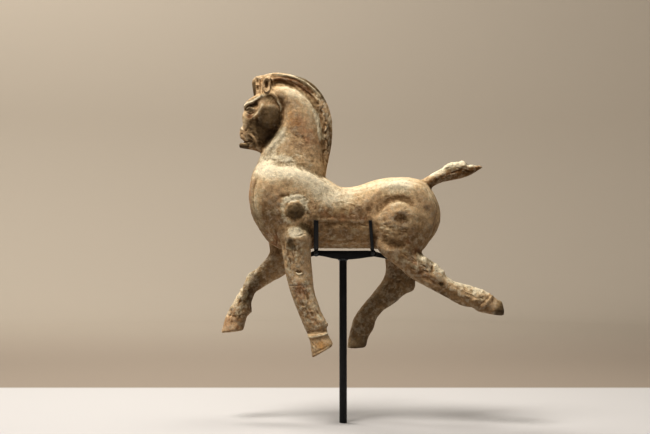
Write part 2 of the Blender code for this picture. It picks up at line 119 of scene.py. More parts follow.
class Graph:
    """Adds shader nodes to a material and joins them."""

    def __init__(self, name):
        self.material = bpy.data.materials.new(name)
        self.material.use_nodes = True
        self.tree = self.material.node_tree
        self.shader = self.tree.nodes["Principled BSDF"]
        self.place = self.node("TexCoord").outputs["Object"]

    def node(self, kind, **values):
        made = self.tree.nodes.new("ShaderNode" + kind)
        for key, value in values.items():
            if hasattr(made, key):
                setattr(made, key, value)
            else:
                self.feed(value, made.inputs[key])
        return made

    def feed(self, value, socket):
        if isinstance(value, bpy.types.NodeSocket):
            self.tree.links.new(value, socket)
        else:
            socket.default_value = value

    def attribute(self, name):
        return self.node("Attribute", attribute_name=name).outputs["Fac"]

    def noise(self, size, detail=4.0, roughness=0.55):
        """Cloudy noise from 0 to 1, whose blotches are about size metres across."""
        made = self.node("TexNoise", Vector=self.place, Scale=1 / size, Detail=detail)
        made.inputs["Roughness"].default_value = roughness
        return made.outputs["Fac"]

    def ramp(self, value, low, high, start=0.0, end=1.0):
        """Spreads the stretch from low to high of a value over start to end."""
        made = self.node("MapRange", interpolation_type="SMOOTHSTEP", Value=value)
        for key, number in (("From Min", low), ("From Max", high), ("To Min", start), ("To Max", end)):
            made.inputs[key].default_value = number
        return made.outputs["Result"]

    def math(self, operation, first, second):
        made = self.node("Math", operation=operation)
        self.feed(first, made.inputs[0])
        self.feed(second, made.inputs[1])
        return made.outputs[0]

    def times(self, first, second):
        return self.math("MULTIPLY", first, second)

    def over(self, below, above, share):
        """One colour laid over another by a share."""
        made = self.node("Mix", data_type="RGBA", Factor=share)
        for value, socket in ((below, made.inputs[MIX_BELOW]), (above, made.inputs[MIX_ABOVE])):
            self.feed(value if isinstance(value, bpy.types.NodeSocket) else (*value, 1), socket)
        return made.outputs[MIX_RESULT]

    def glaze(self, below, tint, share):
        """A thin wash over a colour. Gamma raises the tint by its share, and Multiply lays it over."""
        wash = self.node("Gamma", Color=(*tint, 1), Gamma=share)
        made = self.node("Mix", data_type="RGBA", blend_type="MULTIPLY", Factor=1)
        self.feed(below, made.inputs[MIX_BELOW])
        self.feed(wash.outputs["Color"], made.inputs[MIX_ABOVE])
        return made.outputs[MIX_RESULT]

    def torn(self, patch, size, tear=1.1, soft=0.16, most=1.0):
        """How much of a patch is left: noise tears it, so half a patch ends up half covered."""
        torn_by = self.times(self.math("SUBTRACT", self.noise(size, 6, 0.62), 0.5), 2 * tear)
        return self.ramp(self.math("ADD", patch, torn_by), 0.5 - soft, 0.5 + soft, 0, most)

    def finish(self, colour, roughness, specular=0.5, bump=None):
        """Joins the layers to the shader and hands over the material."""
        self.feed(colour, self.shader.inputs["Base Color"])
        self.feed(roughness, self.shader.inputs["Roughness"])
        self.shader.inputs["Specular IOR Level"].default_value = specular
        if bump:
            self.feed(bump.outputs["Normal"], self.shader.inputs["Normal"])
        return self.material


# %% Give the cove its paper
FLOOR_PAPER, WALL_PAPER = (0.59, 0.58, 0.575), (0.485, 0.435, 0.37)
LOW_WALL_PAPER, SIDE_PAPER = (0.33, 0.28, 0.23), (0.16, 0.145, 0.125)
# Tones pass into each other over a stretch in metres. These three run from front to back,
FLOOR_ENDS = (0.272, 0.288)
WALL_RISES = (0.5, 1.9)
SIDES_END = (-0.4, 0.9)
# and this one runs outwards from the middle.
FLOOR_FADES = (0.5, 1.2)


def toned_paper():
    graph = Graph("toned_paper")
    back = graph.node("SeparateXYZ", Vector=graph.place).outputs["Y"]
    reach = graph.node("VectorMath", operation="LENGTH", Vector=graph.place).outputs["Value"]
    wall = graph.over(LOW_WALL_PAPER, WALL_PAPER, graph.ramp(back, *WALL_RISES))
    middle = graph.over(FLOOR_PAPER, wall, graph.ramp(back, *FLOOR_ENDS))
    sides = graph.over(SIDE_PAPER, wall, graph.ramp(back, *SIDES_END))
    tone = graph.over(middle, sides, graph.ramp(reach, *FLOOR_FADES))
    return graph.finish(tone, 0.95, 0.1)


cove.data.materials.append(toned_paper())
print("the paper has", len(cove.data.materials[0].node_tree.nodes), "nodes")

# %% [markdown]
# ## Soft studio light
# Old clay shows its modelling best under one large lamp overhead: backs and upper rims turn bright,
# flanks fall to a middle tone and bellies go dark. A weak lamp in front and a dim surround keep the
# shaded side readable, and one more lamp looks the other way and brightens the wall.


# %% Hang the lamps
def add_lamp(name, place, aim, size, power, colour):
    """A square soft lamp that points at a place."""
    bpy.ops.object.light_add(type="AREA", location=place)
    lamp = bpy.context.object
    lamp.name = name
    lamp.rotation_euler = (Vector(aim) - Vector(place)).to_track_quat("-Z", "Y").to_euler()
    lamp.data.size = size
    lamp.data.energy = power
    lamp.data.color = colour


HORSE_MIDDLE = (0.01, 0, 0.22)
SURROUND_TONE, SURROUND_STRENGTH = (1.0, 0.93, 0.84, 1), 0.042
add_lamp("overhead_lamp", (-0.36, -0.33, 1.33), HORSE_MIDDLE, 0.42, 17.6, (1.0, 0.955, 0.90))
add_lamp("back_lamp", (0.25, 0.05, 1.35), HORSE_MIDDLE, 0.35, 3.2, (1.0, 0.95, 0.88))
add_lamp("front_lamp", (0.1, -1.25, 1.55), (0.01, 0, 0.15), 1.0, 2.6, (1.0, 0.95, 0.9))
add_lamp("wall_lamp", (-0.8, 0.7, 2.0), (-0.6, 2.3, 0.5), 1.0, 46, (1.0, 0.96, 0.9))

surround = bpy.data.worlds.new("dim_studio")
surround.use_nodes = True
background = surround.node_tree.nodes["Background"]
background.inputs["Color"].default_value = SURROUND_TONE
background.inputs["Strength"].default_value = SURROUND_STRENGTH
bpy.context.scene.world = surround

# %% [markdown]
# ## A block of clay over the solid horse
# The solid horse is made of large flat facets. A sculptor who wants to go on from it would first
# remesh it finely: the Remesh modifier lays an even net of small squares over the form, and Smooth
# melts the facets away. Smoothing shrinks a round form a little, so Displace swells it back.

# %% Copy the solid and remesh it
CLAY_NET = 0.00065
FACET_SMOOTHING = 14
SWELL_BACK = 0.00018


def apply_modifier(piece, kind, **settings):
    """Adds a modifier to a piece with these settings and applies it."""
    modifier = piece.modifiers.new(kind.title(), kind)
    for key, value in settings.items():
        setattr(modifier, key, value)
    with bpy.context.temp_override(object=piece, active_object=piece, selected_objects=[piece]):
        bpy.ops.object.modifier_apply(modifier=modifier.name)


def copy_of_solid(node, name):
    """A new piece with a copy of a solid's mesh, its loose triangles merged into one skin."""
    piece = bpy.data.objects.new(name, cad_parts[node].data.copy())
    bpy.context.scene.collection.objects.link(piece)
    bpy.ops.object.select_all(action="DESELECT")
    piece.select_set(True)
    bpy.context.view_layer.objects.active = piece
    piece.data.materials.clear()
    bpy.ops.object.mode_set(mode="EDIT")
    bpy.ops.mesh.select_all(action="SELECT")
    bpy.ops.mesh.remove_doubles(threshold=0.00001)
    bpy.ops.object.mode_set(mode="OBJECT")
    return piece


horse = copy_of_solid("horse", "clay_horse")
apply_modifier(horse, "REMESH", mode="VOXEL", voxel_size=CLAY_NET)
apply_modifier(horse, "SMOOTH", factor=0.5, iterations=FACET_SMOOTHING)
apply_modifier(horse, "DISPLACE", strength=SWELL_BACK, mid_level=0)
print("clay net:", len(horse.data.vertices), "points")

# %% [markdown]
# ## Modelling tools
# Blender's sculpt brushes need a window, so the strokes are made here in code, the way a wooden
# tool works on clay: each stroke pushes the points under it in or out along the surface.
# A stroke follows a path, a dab is a round or oval spot, and softening melts a spot smooth again.
# Their places are drawn on a side view in millimetres, from the rod's axis and the underside of
# the belly, as the eye sees it from the camera's place. A flank stands nearer to the eye than the
# rod does, so it is drawn a little larger there, and the tools allow for that.

# %% Define the tools
BAR_AND_STRAP = 0.0117
belly_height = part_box("stand_rod")[1].z + BAR_AND_STRAP
NEAR, BOTH, FAR_LEGS = "near side", "both sides", "far legs"
NEAR_ROUND, FAR_ROUND, ALL_ROUND = "all round the near half", "all round the far half", "all round both"
HAND_WOBBLE = 0.55
HAND_REACH = 0.0065
GRAZING, GRAZING_FADE = 0.05, 0.35
MILLIMETRES = 1000


def smooth_path(corners, steps=8):
    """Points along a smooth curve through the corners of a stroke."""
    corners = np.array(corners, float)
    if len(corners) < 3:
        return corners
    whole = np.vstack([2 * corners[0] - corners[1], corners, 2 * corners[-1] - corners[-2]])
    places = []
    for a, b, c, d in zip(whole, whole[1:], whole[2:], whole[3:]):
        slope, bend, twist = c - a, 2 * a - 5 * b + 4 * c - d, 3 * b - a - 3 * c + d
        for t in np.linspace(0, 1, steps, endpoint=False):
            places.append(0.5 * (2 * b + slope * t + bend * t**2 + twist * t**3))
    return np.array([*places, corners[-1]])


def soft_edge(share):
    """Turns a straight ramp from 0 to 1 into one with soft ends."""
    share = np.clip(share, 0, 1)
    return share * share * (3 - 2 * share)


def facing_eye(sideways):
    """How squarely a point faces the eye, from the part of its normal that points there."""
    return np.clip((sideways - GRAZING) / GRAZING_FADE, 0, 1)


def neighbour_average(values, ends, counts):
    """The average of each point's neighbours, for one column of values after another."""
    total = np.zeros_like(values)
    for column in range(values.shape[1]):
        total[:, column] = np.bincount(ends[:, 0], values[ends[:, 1], column], len(values))
        total[:, column] += np.bincount(ends[:, 1], values[ends[:, 0], column], len(values))
    return total / counts[:, None]


class Clay:
    """The points and normals of a piece, seen from the side, with tools that move or colour them."""

    def __init__(self, piece):
        self.mesh = piece.data
        self.read()
        places = [Vector(point) / HAND_REACH for point in self.points]
        self.wobble = np.array([noise.noise_vector(place) for place in places])

    def read(self):
        count = len(self.mesh.vertices)
        points, normals = np.empty(count * 3), np.empty(count * 3)
        self.mesh.vertices.foreach_get("co", points)
        self.mesh.vertices.foreach_get("normal", normals)
        self.points, self.normals = points.reshape(-1, 3), normals.reshape(-1, 3)
        self.left = self.points[:, 1] < 0
        ends = np.empty(len(self.mesh.edges) * 2, int)
        self.mesh.edges.foreach_get("vertices", ends)
        self.ends = ends.reshape(-1, 2)

    def write(self):
        self.mesh.vertices.foreach_set("co", self.points.ravel())
        self.mesh.update()
        self.read()

    def seen(self, turn):
        """Places in the side view in millimetres, from the left, or from the right if turn is -1."""
        eye = np.array([CAMERA_PLACE.x, CAMERA_PLACE.z - belly_height])
        flat = self.points[:, [0, 2]] - [0, belly_height] - eye
        nearness = -CAMERA_PLACE.y / (-CAMERA_PLACE.y + turn * self.points[:, 1])
        places = (eye + flat * nearness[:, None]) * MILLIMETRES
        return places + self.wobble[:, [0, 2]] * HAND_WOBBLE

    def views(self, where):
        """Each side view that a tool works in, with how squarely every point there faces the eye."""
        sideways = self.normals[:, 1]
        if where in (NEAR, BOTH):
            yield self.seen(1), facing_eye(-sideways) * self.left
        if where == BOTH:
            yield self.seen(-1), facing_eye(sideways) * ~self.left
        if where == FAR_LEGS:
            yield self.seen(1), facing_eye(abs(sideways)) * ~self.left
        if where == NEAR_ROUND:
            yield self.seen(1), self.left * 1.0
        if where == FAR_ROUND:
            yield self.seen(1), ~self.left * 1.0
        if where == ALL_ROUND:
            yield self.seen(1), self.left * 1.0
            yield self.seen(-1), ~self.left * 1.0

    def line(self, path, width, where=BOTH, fade=0.2, crisp=1.5):
        """The share of each point in a stroke along a path, which fades out at both ends."""
        places = smooth_path(path)
        total = np.zeros(len(self.points))
        for view, facing in self.views(where):
            low, high = places.min(0) - width, places.max(0) + width
            inside = np.flatnonzero(((view > low) & (view < high)).all(1) & (facing > 0))
            spots = view[inside]
            nearest, place = np.full(len(inside), np.inf), np.zeros(len(inside))
            for k, (start, end) in enumerate(zip(places, places[1:])):
                run = end - start
                share = np.clip((spots - start) @ run / (run @ run), 0, 1)
                away = np.linalg.norm(spots - start - share[:, None] * run, axis=1)
                closer = away < nearest
                nearest[closer] = away[closer]
                place[closer] = (k + share[closer]) / (len(places) - 1)
            depth = np.clip(1 - (nearest / width) ** 2, 0, 1) ** crisp
            ends = np.clip(np.minimum(place, 1 - place) / max(fade, 0.001), 0, 1) ** 0.7
            total[inside] += depth * ends * facing[inside]
        return total

    def disc(self, centre, radius, where=BOTH, rim=1.0):
        """The share of each point in a round or oval spot, whose edge is soft over the share rim."""
        across, up = radius if isinstance(radius, tuple) else (radius, radius)
        total = np.zeros(len(self.points))
        for view, facing in self.views(where):
            away = np.hypot((view[:, 0] - centre[0]) / across, (view[:, 1] - centre[1]) / up)
            total += soft_edge((1 - away) / rim) * facing
        return total

    def ring(self, centre, radius, width, where=BOTH):
        """The share of each point in a ring round a centre."""
        total = np.zeros(len(self.points))
        for view, facing in self.views(where):
            away = np.linalg.norm(view - np.array(centre, float), axis=1)
            total += np.clip(1 - (abs(away - radius) / width) ** 2, 0, 1) ** 1.5 * facing
        return total

    def press(self, share, height):
        """Raises the points by their share of a height in millimetres. Below 0 it sinks them."""
        self.points += self.normals * (share * height / MILLIMETRES)[:, None]

    def stroke(self, path, width, height, where=BOTH, fade=0.2):
        """Presses the clay along a path."""
        self.press(self.line(path, width, where, fade), height)

    def dab(self, centre, radius, height, where=BOTH, rim=1.0):
        """Presses the clay in a round or oval spot."""
        self.press(self.disc(centre, radius, where, rim), height)

    def soften(self, share, rounds):
        """Smooths the points by their share, over and over, as a wet finger does."""
        chosen = np.flatnonzero(share > 0.01)
        place = np.full(len(share), -1)
        place[chosen] = np.arange(len(chosen))
        ends = place[self.ends]
        ends = ends[(ends >= 0).all(1)]
        counts = np.maximum(np.bincount(ends.ravel(), minlength=len(chosen)), 1).astype(float)
        local, amount = self.points[chosen], np.clip(share[chosen], 0, 1)[:, None]
        for _ in range(rounds):
            local += amount * (neighbour_average(local, ends, counts) - local)
        self.points[chosen] = local


RANDOM = np.random.default_rng(9)


def scatter(start, end, spread, count):
    """Random places in a strip between two places, with the directions along and across it."""
    start, end = np.array(start, float), np.array(end, float)
    along = (end - start) / np.linalg.norm(end - start)
    across = np.array([-along[1], along[0]])
    for k in range(count):
        middle = start + (end - start) * RANDOM.uniform(0, 1) + across * RANDOM.uniform(-spread, spread)
        yield k, middle, along, across


def roughen(start, end, spread, count, where, height=0.5):
    """Small lumps and dents and short shallow strokes between two places, as on badly worn clay."""
    for k, middle, along, across in scatter(start, end, spread, count):
        depth = height * RANDOM.choice((-1.3, -0.8, 0.8, 1.1))
        if k % 2:
            lean = across * RANDOM.normal(0, 1.2)
            reach = along * RANDOM.uniform(2, 5)
            path = [middle - reach + lean, middle, middle + reach]
            stroke(path, RANDOM.uniform(0.9, 1.5), depth, where, 0.4)
        else:
            size = (RANDOM.uniform(1.6, 3.4), RANDOM.uniform(1.2, 2.8))
            dab(middle, size, max(depth, -0.7 * height), where)


def carve(*parts):
    """Carves one part after another and looks at the clay anew after each."""
    for part in parts:
        part()
        clay.write()


clay = Clay(horse)
stroke, dab, soften = clay.stroke, clay.dab, clay.soften
print("belly at", round(belly_height, 4), "m")

# %% [markdown]
# ## The head
# The face carries the character of the horse: a sharp brow ledge that overhangs a deep-set eye, a
# round flat cheek with a raised rim, a ridge that runs from the ear side down below the eye, flared
# nostrils and a mouth held just open. Each is one or two strokes.

# %% Model the face


def carve_eye():
    soften(clay.disc((-93, 137), 9), 40)
    stroke([(-98, 138), (-93, 141.6), (-85, 145)], 3.4, -1.3)
    stroke([(-99.8, 140), (-96.5, 144), (-91.5, 146.5), (-82.5, 151.5), (-76, 154)], 2.0, 1.3, fade=0.1)
    stroke([(-79, 147), (-82, 140.5), (-85.6, 134.6), (-90.4, 130)], 2.4, 1.6, fade=0.12)
    stroke([(-97, 137.6), (-93, 139.6), (-88.4, 137.8)], 2.6, 1.3, fade=0.3)
    stroke([(-97.2, 139), (-94.4, 141.2), (-91, 140.8), (-88, 138.6)], 0.8, 0.6, fade=0.1)
    stroke([(-96, 136.4), (-92.6, 134.6), (-89, 136)], 0.9, -0.7, fade=0.1)
    dab((-92.8, 138.6), (1.7, 1.4), -0.8)
    dab((-93, 132.5), (4.5, 3.5), -0.6)


def carve_muzzle():
    soften(clay.disc((-97, 115), (10, 15)), 220)
    stroke([(-98.6, 138), (-98.4, 130), (-98.6, 120)], 6.0, 3.2, ALL_ROUND, fade=0.35)
    dab((-101.2, 119.4), (2.6, 2.2), 1.3, ALL_ROUND)
    dab((-97.6, 118.0), (2.0, 1.7), -1.4)
    dab((-101.4, 114.6), (1.5, 1.3), -0.9)
    stroke([(-102.5, 112), (-99, 110.4), (-96.5, 109.4)], 2.2, 0.8, ALL_ROUND)
    stroke([(-102.5, 106.6), (-98.5, 107), (-94, 107.4), (-90.5, 106)], 1.5, -1.3, ALL_ROUND, fade=0.05)
    stroke([(-95.2, 115), (-90.4, 112.6), (-88, 108), (-86.3, 104), (-85.4, 99.6)], 1.6, 0.8)
    dab((-93.5, 105), (4.2, 4), -0.8)
    stroke([(-104, 102.6), (-100, 103.6), (-95, 102)], 2.4, 1.2, ALL_ROUND)
    roughen((-98, 124), (-82, 102), 7, 22, BOTH, 0.3)


def carve_cheek():
    soften(clay.disc((-73, 131), 17), 40)
    soften(clay.disc((-72, 148), (13, 9)), 220)
    dab((-72.5, 131), 15, 0.5, rim=0.3)
    stroke([(-79, 153), (-73, 155.5), (-68.5, 153), (-65, 148.5), (-62.6, 141), (-62.6, 136)], 2.0, 1.4)
    stroke([(-60, 141), (-61, 130), (-66, 119), (-74, 107), (-79, 99)], 2.0, -1.0)
    stroke([(-87, 127), (-80, 123), (-72, 122), (-66, 125)], 1.8, 0.4)


carve(carve_eye, carve_muzzle, carve_cheek)
print("face done")

# %% [markdown]
# ## Ears, forelock and mane
# The ears are small upright cups pressed against the mane. Between them the forelock stands up as a
# squared tuft with thumb marks in it. The mane is clipped: a raised band with a bright rim line, a
# sunken strip below it, and rough locks lower down where it meets the withers.

# %% Model ears, forelock and mane
LOCKS = 44


def carve_ears():
    soften(clay.disc((-76.5, 163), (7, 10)), 25)
    outline = [
        (-79.6, 161), (-79.4, 166.5), (-77.2, 170.6), (-74.8, 169.6), (-73.6, 164.5), (-74.4, 159),
        (-76.8, 156.6),
    ]
    stroke(outline, 1.1, 1.2, fade=0.05)
    stroke([(-79.6, 162), (-79, 158.4), (-76.8, 156.6)], 1.1, 1.0, fade=0.05)
    stroke([(-76.8, 168.4), (-76.4, 164.6), (-76.8, 160.6)], 1.8, -2.6, fade=0.1)
    stroke([(-74.6, 171), (-71.2, 169.8), (-69.8, 166), (-70.4, 162)], 1.3, 0.9)
    stroke([(-72.2, 168), (-71.8, 164), (-73, 159)], 1.0, -0.8)


def carve_forelock():
    stroke([(-88.6, 169), (-88.4, 160), (-88.2, 152)], 1.2, -0.8)
    stroke([(-81.8, 167), (-81.6, 160), (-82.2, 152)], 1.1, 0.9)
    stroke([(-83.6, 170), (-83.2, 162), (-83.6, 153)], 1.0, -0.8)
    dab((-86, 167.4), (1.8, 2.4), -1.3)
    dab((-85.7, 160.4), (1.8, 3.0), -1.4)
    stroke([(-88, 164.2), (-85.5, 163.8), (-83.6, 164.6)], 1.0, 0.5)
    dab((-86.6, 171.6), 2.0, 0.6)
    dab((-89.8, 169), 1.7, 0.6)


def carve_mane():
    band = [(-70, 168), (-52, 168), (-36, 158), (-26, 142), (-21, 120), (-20, 90)]
    soften(clay.line(band, 8), 16)
    rim = [
        (-73, 174.6), (-61.5, 174.6), (-51.5, 172.6), (-41.5, 168.6), (-34, 163.7), (-27.7, 158),
        (-21.5, 150),
    ]
    stroke(rim, 1.3, 1.1, fade=0.04)
    stroke([(-72, 171.8), (-58, 172), (-46, 168.2), (-37, 162.6), (-29.5, 155)], 1.5, -0.5, fade=0.04)
    stroke([(-58, 171), (-46.5, 165.8), (-36.5, 158.8), (-29, 153), (-24, 145)], 1.2, 0.5)
    stroke([(-70, 167), (-62, 167.4), (-54, 164), (-48, 160.6)], 3.0, -1.4, fade=0.1)
    stroke([(-52, 163), (-44, 158), (-35, 150), (-28, 140), (-22.5, 128), (-20, 112)], 1.8, -0.5)
    stroke([(-36, 168), (-26, 160), (-18.5, 149.5), (-14, 138), (-12, 124)], 1.8, -0.7)
    stroke([(-28, 141), (-25, 129), (-23.6, 118), (-22.4, 106)], 1.7, 0.6)


def carve_locks():
    ridge = [(-30, 156), (-21, 142), (-17.5, 128), (-17, 112), (-17.5, 96), (-18.5, 84)]
    ridge = smooth_path(ridge, 12)
    for _ in range(LOCKS):
        x, z = ridge[RANDOM.integers(len(ridge))] + RANDOM.normal(0, (2.6, 1.4))
        lean = RANDOM.uniform(-1.5, 2.5)
        depth = RANDOM.choice((-0.7, -0.45, 0.4))
        path = [(x - lean, z + 2.6), (x, z), (x + lean, z - 2.8)]
        stroke(path, RANDOM.uniform(0.9, 1.6), depth, fade=0.4)


carve(carve_ears, carve_forelock, carve_mane, carve_locks)
print("mane done, with", LOCKS, "strokes on each side")

# %% [markdown]
# ## Neck and body
# The modeller drew round the big muscles with a blunt clay. A ringed boss marks the point of the
# shoulder and an oval hollow the hip, each under an arched groove. Folds follow the chest and the
# rump, and a low ledge runs along the flank between the stand's straps.

# %% Model the body
SHOULDER_BOSS = (-48, 38.5)
BOSS_LUMPS = 30


def round_boss(angle, reach):
    """The place at an angle and a distance from the middle of the shoulder boss."""
    return SHOULDER_BOSS[0] + reach * math.cos(angle), SHOULDER_BOSS[1] + reach * math.sin(angle)


def carve_shoulder():
    soften(clay.disc((-52, 42), (34, 30), rim=0.3), 520)
    dab(SHOULDER_BOSS, 16, 1.5, rim=1.0)
    dab(SHOULDER_BOSS, 9.6, 0.9, rim=0.9)
    clay.press(clay.ring(SHOULDER_BOSS, 10, 1.8), -0.5)
    for angle in RANDOM.uniform(0, 2 * math.pi, BOSS_LUMPS):
        lump = round_boss(angle, RANDOM.uniform(10, 17))
        size = (RANDOM.uniform(2, 5), RANDOM.uniform(1.6, 3.4))
        dab(lump, size, RANDOM.choice((-0.35, 0.3, 0.45)))
    stroke([(-64, 51), (-57.5, 53), (-53, 52.5)], 2.0, -0.6)
    stroke([(-51, 53), (-46, 54.4), (-42, 53.4)], 1.7, -0.5)
    stroke([(-76, 46), (-79, 34), (-76, 22), (-70, 12)], 4.5, -0.6)
    stroke([(-47, 26), (-41, 24.4), (-36, 25)], 1.6, -0.7)
    dab((-35, 24), (6, 5), -1.0)
    soften(clay.line([(-64, 26), (-63, 12), (-61, -6)], 11), 700)


def carve_hip():
    soften(clay.disc((55, 32), 33, rim=0.3), 300)
    dab((53, 30), (19, 17), 2.0, rim=0.95)
    dab((58.5, 29.5), (12, 9), -2.2, rim=1.0)
    stroke([(45, 37), (49.5, 42), (57, 44), (64, 42)], 3.2, 0.5)
    stroke([(31, 31), (38, 41.5), (46, 46.6), (55, 49.4), (64, 47.6), (72, 40)], 4.6, -1.1)
    stroke([(37, 33), (38, 26), (42, 19), (50, 15.5)], 4.2, 0.7)
    dab((43, 24), (6, 5.5), 0.6)
    roughen((38, 19), (66, 16), 6, 22, BOTH, 0.32)
    roughen((40, 34), (70, 36), 14, 26, BOTH, 0.22)
    stroke([(30, 15), (40, 6.5), (52, 3), (64, 5), (72, 10)], 7, -0.7, fade=0.3)
    stroke([(31, 12), (34, 0), (43, -11), (56, -21)], 2.2, 0.5)


def carve_folds():
    stroke([(-84, 74), (-89, 60), (-90, 44), (-86, 28), (-79, 12)], 1.5, -0.6)
    stroke([(-81, 72), (-85.5, 58), (-86.5, 44), (-83, 29)], 1.8, 0.4)
    stroke([(80, 63.5), (87, 53.5), (91, 45.5), (93, 33.5), (87, 13.5)], 1.3, -0.5)
    stroke([(77, 62), (84, 52), (88, 42), (89, 28)], 1.6, 0.3)
    soften(clay.line([(-30, 26), (-10, 27), (10, 27), (30, 27)], 12), 260)
    stroke([(-26, 27.6), (-14, 28.6), (-4, 27.4)], 2.6, 0.4)
    stroke([(-2, 28.2), (12, 27), (27, 28)], 2.4, 0.3)
    stroke([(-24, 22), (-8, 23.4), (12, 21.6), (24, 22.6)], 4.4, -0.35)
    roughen((-24, 42), (24, 36), 14, 30, BOTH, 0.22)
    roughen((-24, 16), (24, 16), 9, 18, BOTH, 0.22)
    soften(clay.line([(-88, 80), (-72, 80.5), (-53, 82), (-35, 79), (-20, 72)], 6), 50)
    stroke([(-25, 10), (-5, 6), (12, 8), (26, 6)], 2.4, -0.4)


def carve_neck():
    stroke([(-56, 121), (-63, 111.5), (-71, 102.5), (-79, 94)], 2.8, 0.55)
    stroke([(-60, 107), (-66, 99), (-74, 91)], 3.2, -0.15)
    stroke([(-74, 90), (-64, 88), (-56, 91)], 1.4, -0.25)
    stroke([(-68, 86), (-56, 85.5), (-46, 87)], 1.4, -0.15)
    roughen((-48, 114), (-30, 104), 8, 14, BOTH, 0.2)
    roughen((-70, 92), (-30, 88), 8, 20, BOTH, 0.25)


carve(carve_shoulder, carve_hip, carve_folds, carve_neck)
print("body done")

# %% [markdown]
# ## Legs and tail
# The joints are short strokes too: caps on the forearms, hocks, spurs on the fetlocks, a rounded
# ring over each hoof and a sharper one at the sole. A repair line crosses the near foreleg. The tail
# is lumpy on top, where the tuft was pinched up between finger and thumb.

# %% Model the legs and the tail


def carve_near_foreleg():
    stroke([(-62, 6), (-60, -8), (-57, -22)], 2.4, 0.35, NEAR)
    stroke([(-60, 8), (-58.8, -2), (-56.5, -14)], 1.8, -0.5, NEAR)
    stroke([(-68, 20), (-66, 8), (-68, -2)], 1.6, -0.6, NEAR)
    soften(clay.disc((-49, 20), (19, 11), NEAR_ROUND, 0.6), 420)
    dab((-47, 14), (12, 8), 0.9, NEAR)
    roughen((-56, 16), (-38, 14), 7, 16, NEAR, 0.35)
    dab((-52, 5), (5, 8), -0.9, NEAR)
    roughen((-50, 4), (-45, -22), 8, 26, NEAR, 0.4)
    stroke([(-46.2, -22.4), (-43.7, -23.4), (-41, -22.2)], 1.8, -1.3, NEAR)
    stroke([(-47.3, -24), (-43.7, -26.2), (-40.2, -24.2)], 1.5, 1.2, NEAR)
    stroke([(-58, -36.6), (-47, -37.2), (-37, -36.4), (-27, -37)], 0.7, -0.45, NEAR, fade=0.02)
    dab((-38, -33), 1.4, 0.6, NEAR)
    roughen((-44, -38), (-26, -80), 8, 60, NEAR, 0.33)
    roughen((-26, -90), (-20, -100), 8, 12, NEAR, 0.4)
    dab((-16.5, -75.5), 3.2, 1.3, NEAR_ROUND)
    stroke([(-31, -74), (-26, -78), (-18, -77)], 2.4, 0.6, NEAR)
    stroke([(-36, -84), (-30, -85.2), (-22, -83.6), (-13, -80.5)], 1.3, -0.5, NEAR, fade=0.05)
    stroke([(-36, -88), (-30, -88.8), (-22, -87), (-14, -83.6)], 1.3, 0.65, NEAR, fade=0.05)
    roughen((-34, -82), (-14, -78), 4, 10, NEAR, 0.4)
    stroke([(-32, -106), (-22, -101), (-13, -96)], 1.2, -0.5, NEAR)


def carve_near_hind_leg():
    dab((82, -11), (6, 4.5), 1.2, NEAR)
    dab((93.5, -16.5), (5.5, 4), 1.2, NEAR)
    dab((100.5, -22.5), (4.6, 4), 1.0, NEAR_ROUND)
    stroke([(80, -1), (84, -8), (88, -14)], 1.5, -0.8, NEAR)
    stroke([(86, -10), (90, -16), (88, -22)], 1.4, -0.9, NEAR)
    dab((85.6, -21.6), (3.4, 2.6), 0.9, NEAR)
    dab((78, -24), (7, 4), -1.0, NEAR)
    dab((97.9, -35), (3.4, 2.6), -1.5, NEAR)
    stroke([(72, -24), (88, -34), (104, -42), (118, -50)], 3.0, -0.6, NEAR)
    roughen((58, -6), (80, -26), 9, 18, NEAR, 0.4)
    roughen((100, -28), (146, -50), 8, 46, NEAR_ROUND, 0.42)
    roughen((76, -8), (100, -26), 8, 12, NEAR, 0.36)
    dab((146, -47), (5, 4), 0.8, NEAR)
    dab((139, -43), (3, 3), 0.7, NEAR_ROUND)
    stroke([(131, -60), (138, -55), (144, -50), (149, -45)], 1.6, -0.35, NEAR, fade=0.1)
    stroke([(150, -66), (153, -58), (156, -50)], 1.4, -0.25, NEAR, fade=0.05)


def carve_far_legs():
    dab((-94, -25), (5, 5), 0.8, FAR_LEGS)
    roughen((-76, -6), (-92, -26), 9, 24, FAR_ROUND, 0.65)
    roughen((-96, -30), (-112, -72), 8, 40, FAR_ROUND, 0.6)
    dab((-90.5, -63.5), 2.6, 0.9, FAR_ROUND)
    stroke([(-116, -66), (-106, -68), (-96, -65)], 1.3, -0.5, FAR_LEGS, fade=0.05)
    dab((62, -34), (9, 8), 0.7, FAR_LEGS)
    roughen((56, -30), (20, -80), 9, 22, FAR_LEGS, 0.35)
    stroke([(5, -87), (16, -88), (31, -86)], 1.3, -0.4, FAR_LEGS, fade=0.05)


def carve_tail():
    for x, z, size, height in (
        (103, 81, 3.2, 0.9), (109, 84.5, 3.0, 0.9), (114.5, 83, 2.6, -0.6), (119.6, 87.4, 3.4, 1.1),
        (125, 84.4, 2.6, -1.2), (130, 84.6, 2.6, 1.0), (134, 84, 1.8, -0.5), (137, 82.6, 1.8, 0.6),
    ):
        dab((x, z), size, height, ALL_ROUND)
    stroke([(88, 64.5), (97, 70.6), (109.7, 76), (120.6, 78.6), (127, 77.2), (138, 79.6)], 1.6, -0.5)
    stroke([(100, 79), (107, 80.5)], 1.3, -0.6, fade=0.3)
    stroke([(112, 81), (117, 80), (123, 81.5)], 1.3, -0.7, fade=0.3)
    roughen((92, 68), (134, 81), 4, 14, BOTH, 0.35)


carve(carve_near_foreleg, carve_near_hind_leg, carve_far_legs, carve_tail)
print("legs and tail done")

# %% [markdown]
# ## A buried surface
# Earth eats fired clay unevenly. Three Displace modifiers with cloud textures give it the broad
# dents of the hand, the crumbled skin and a fine grain, all as real relief, so the clay also looks
# worn when it is lit from another side. Decimate then spends the faces where the relief is.

# %% Roughen the clay
CLAY_TRIANGLES = 194000
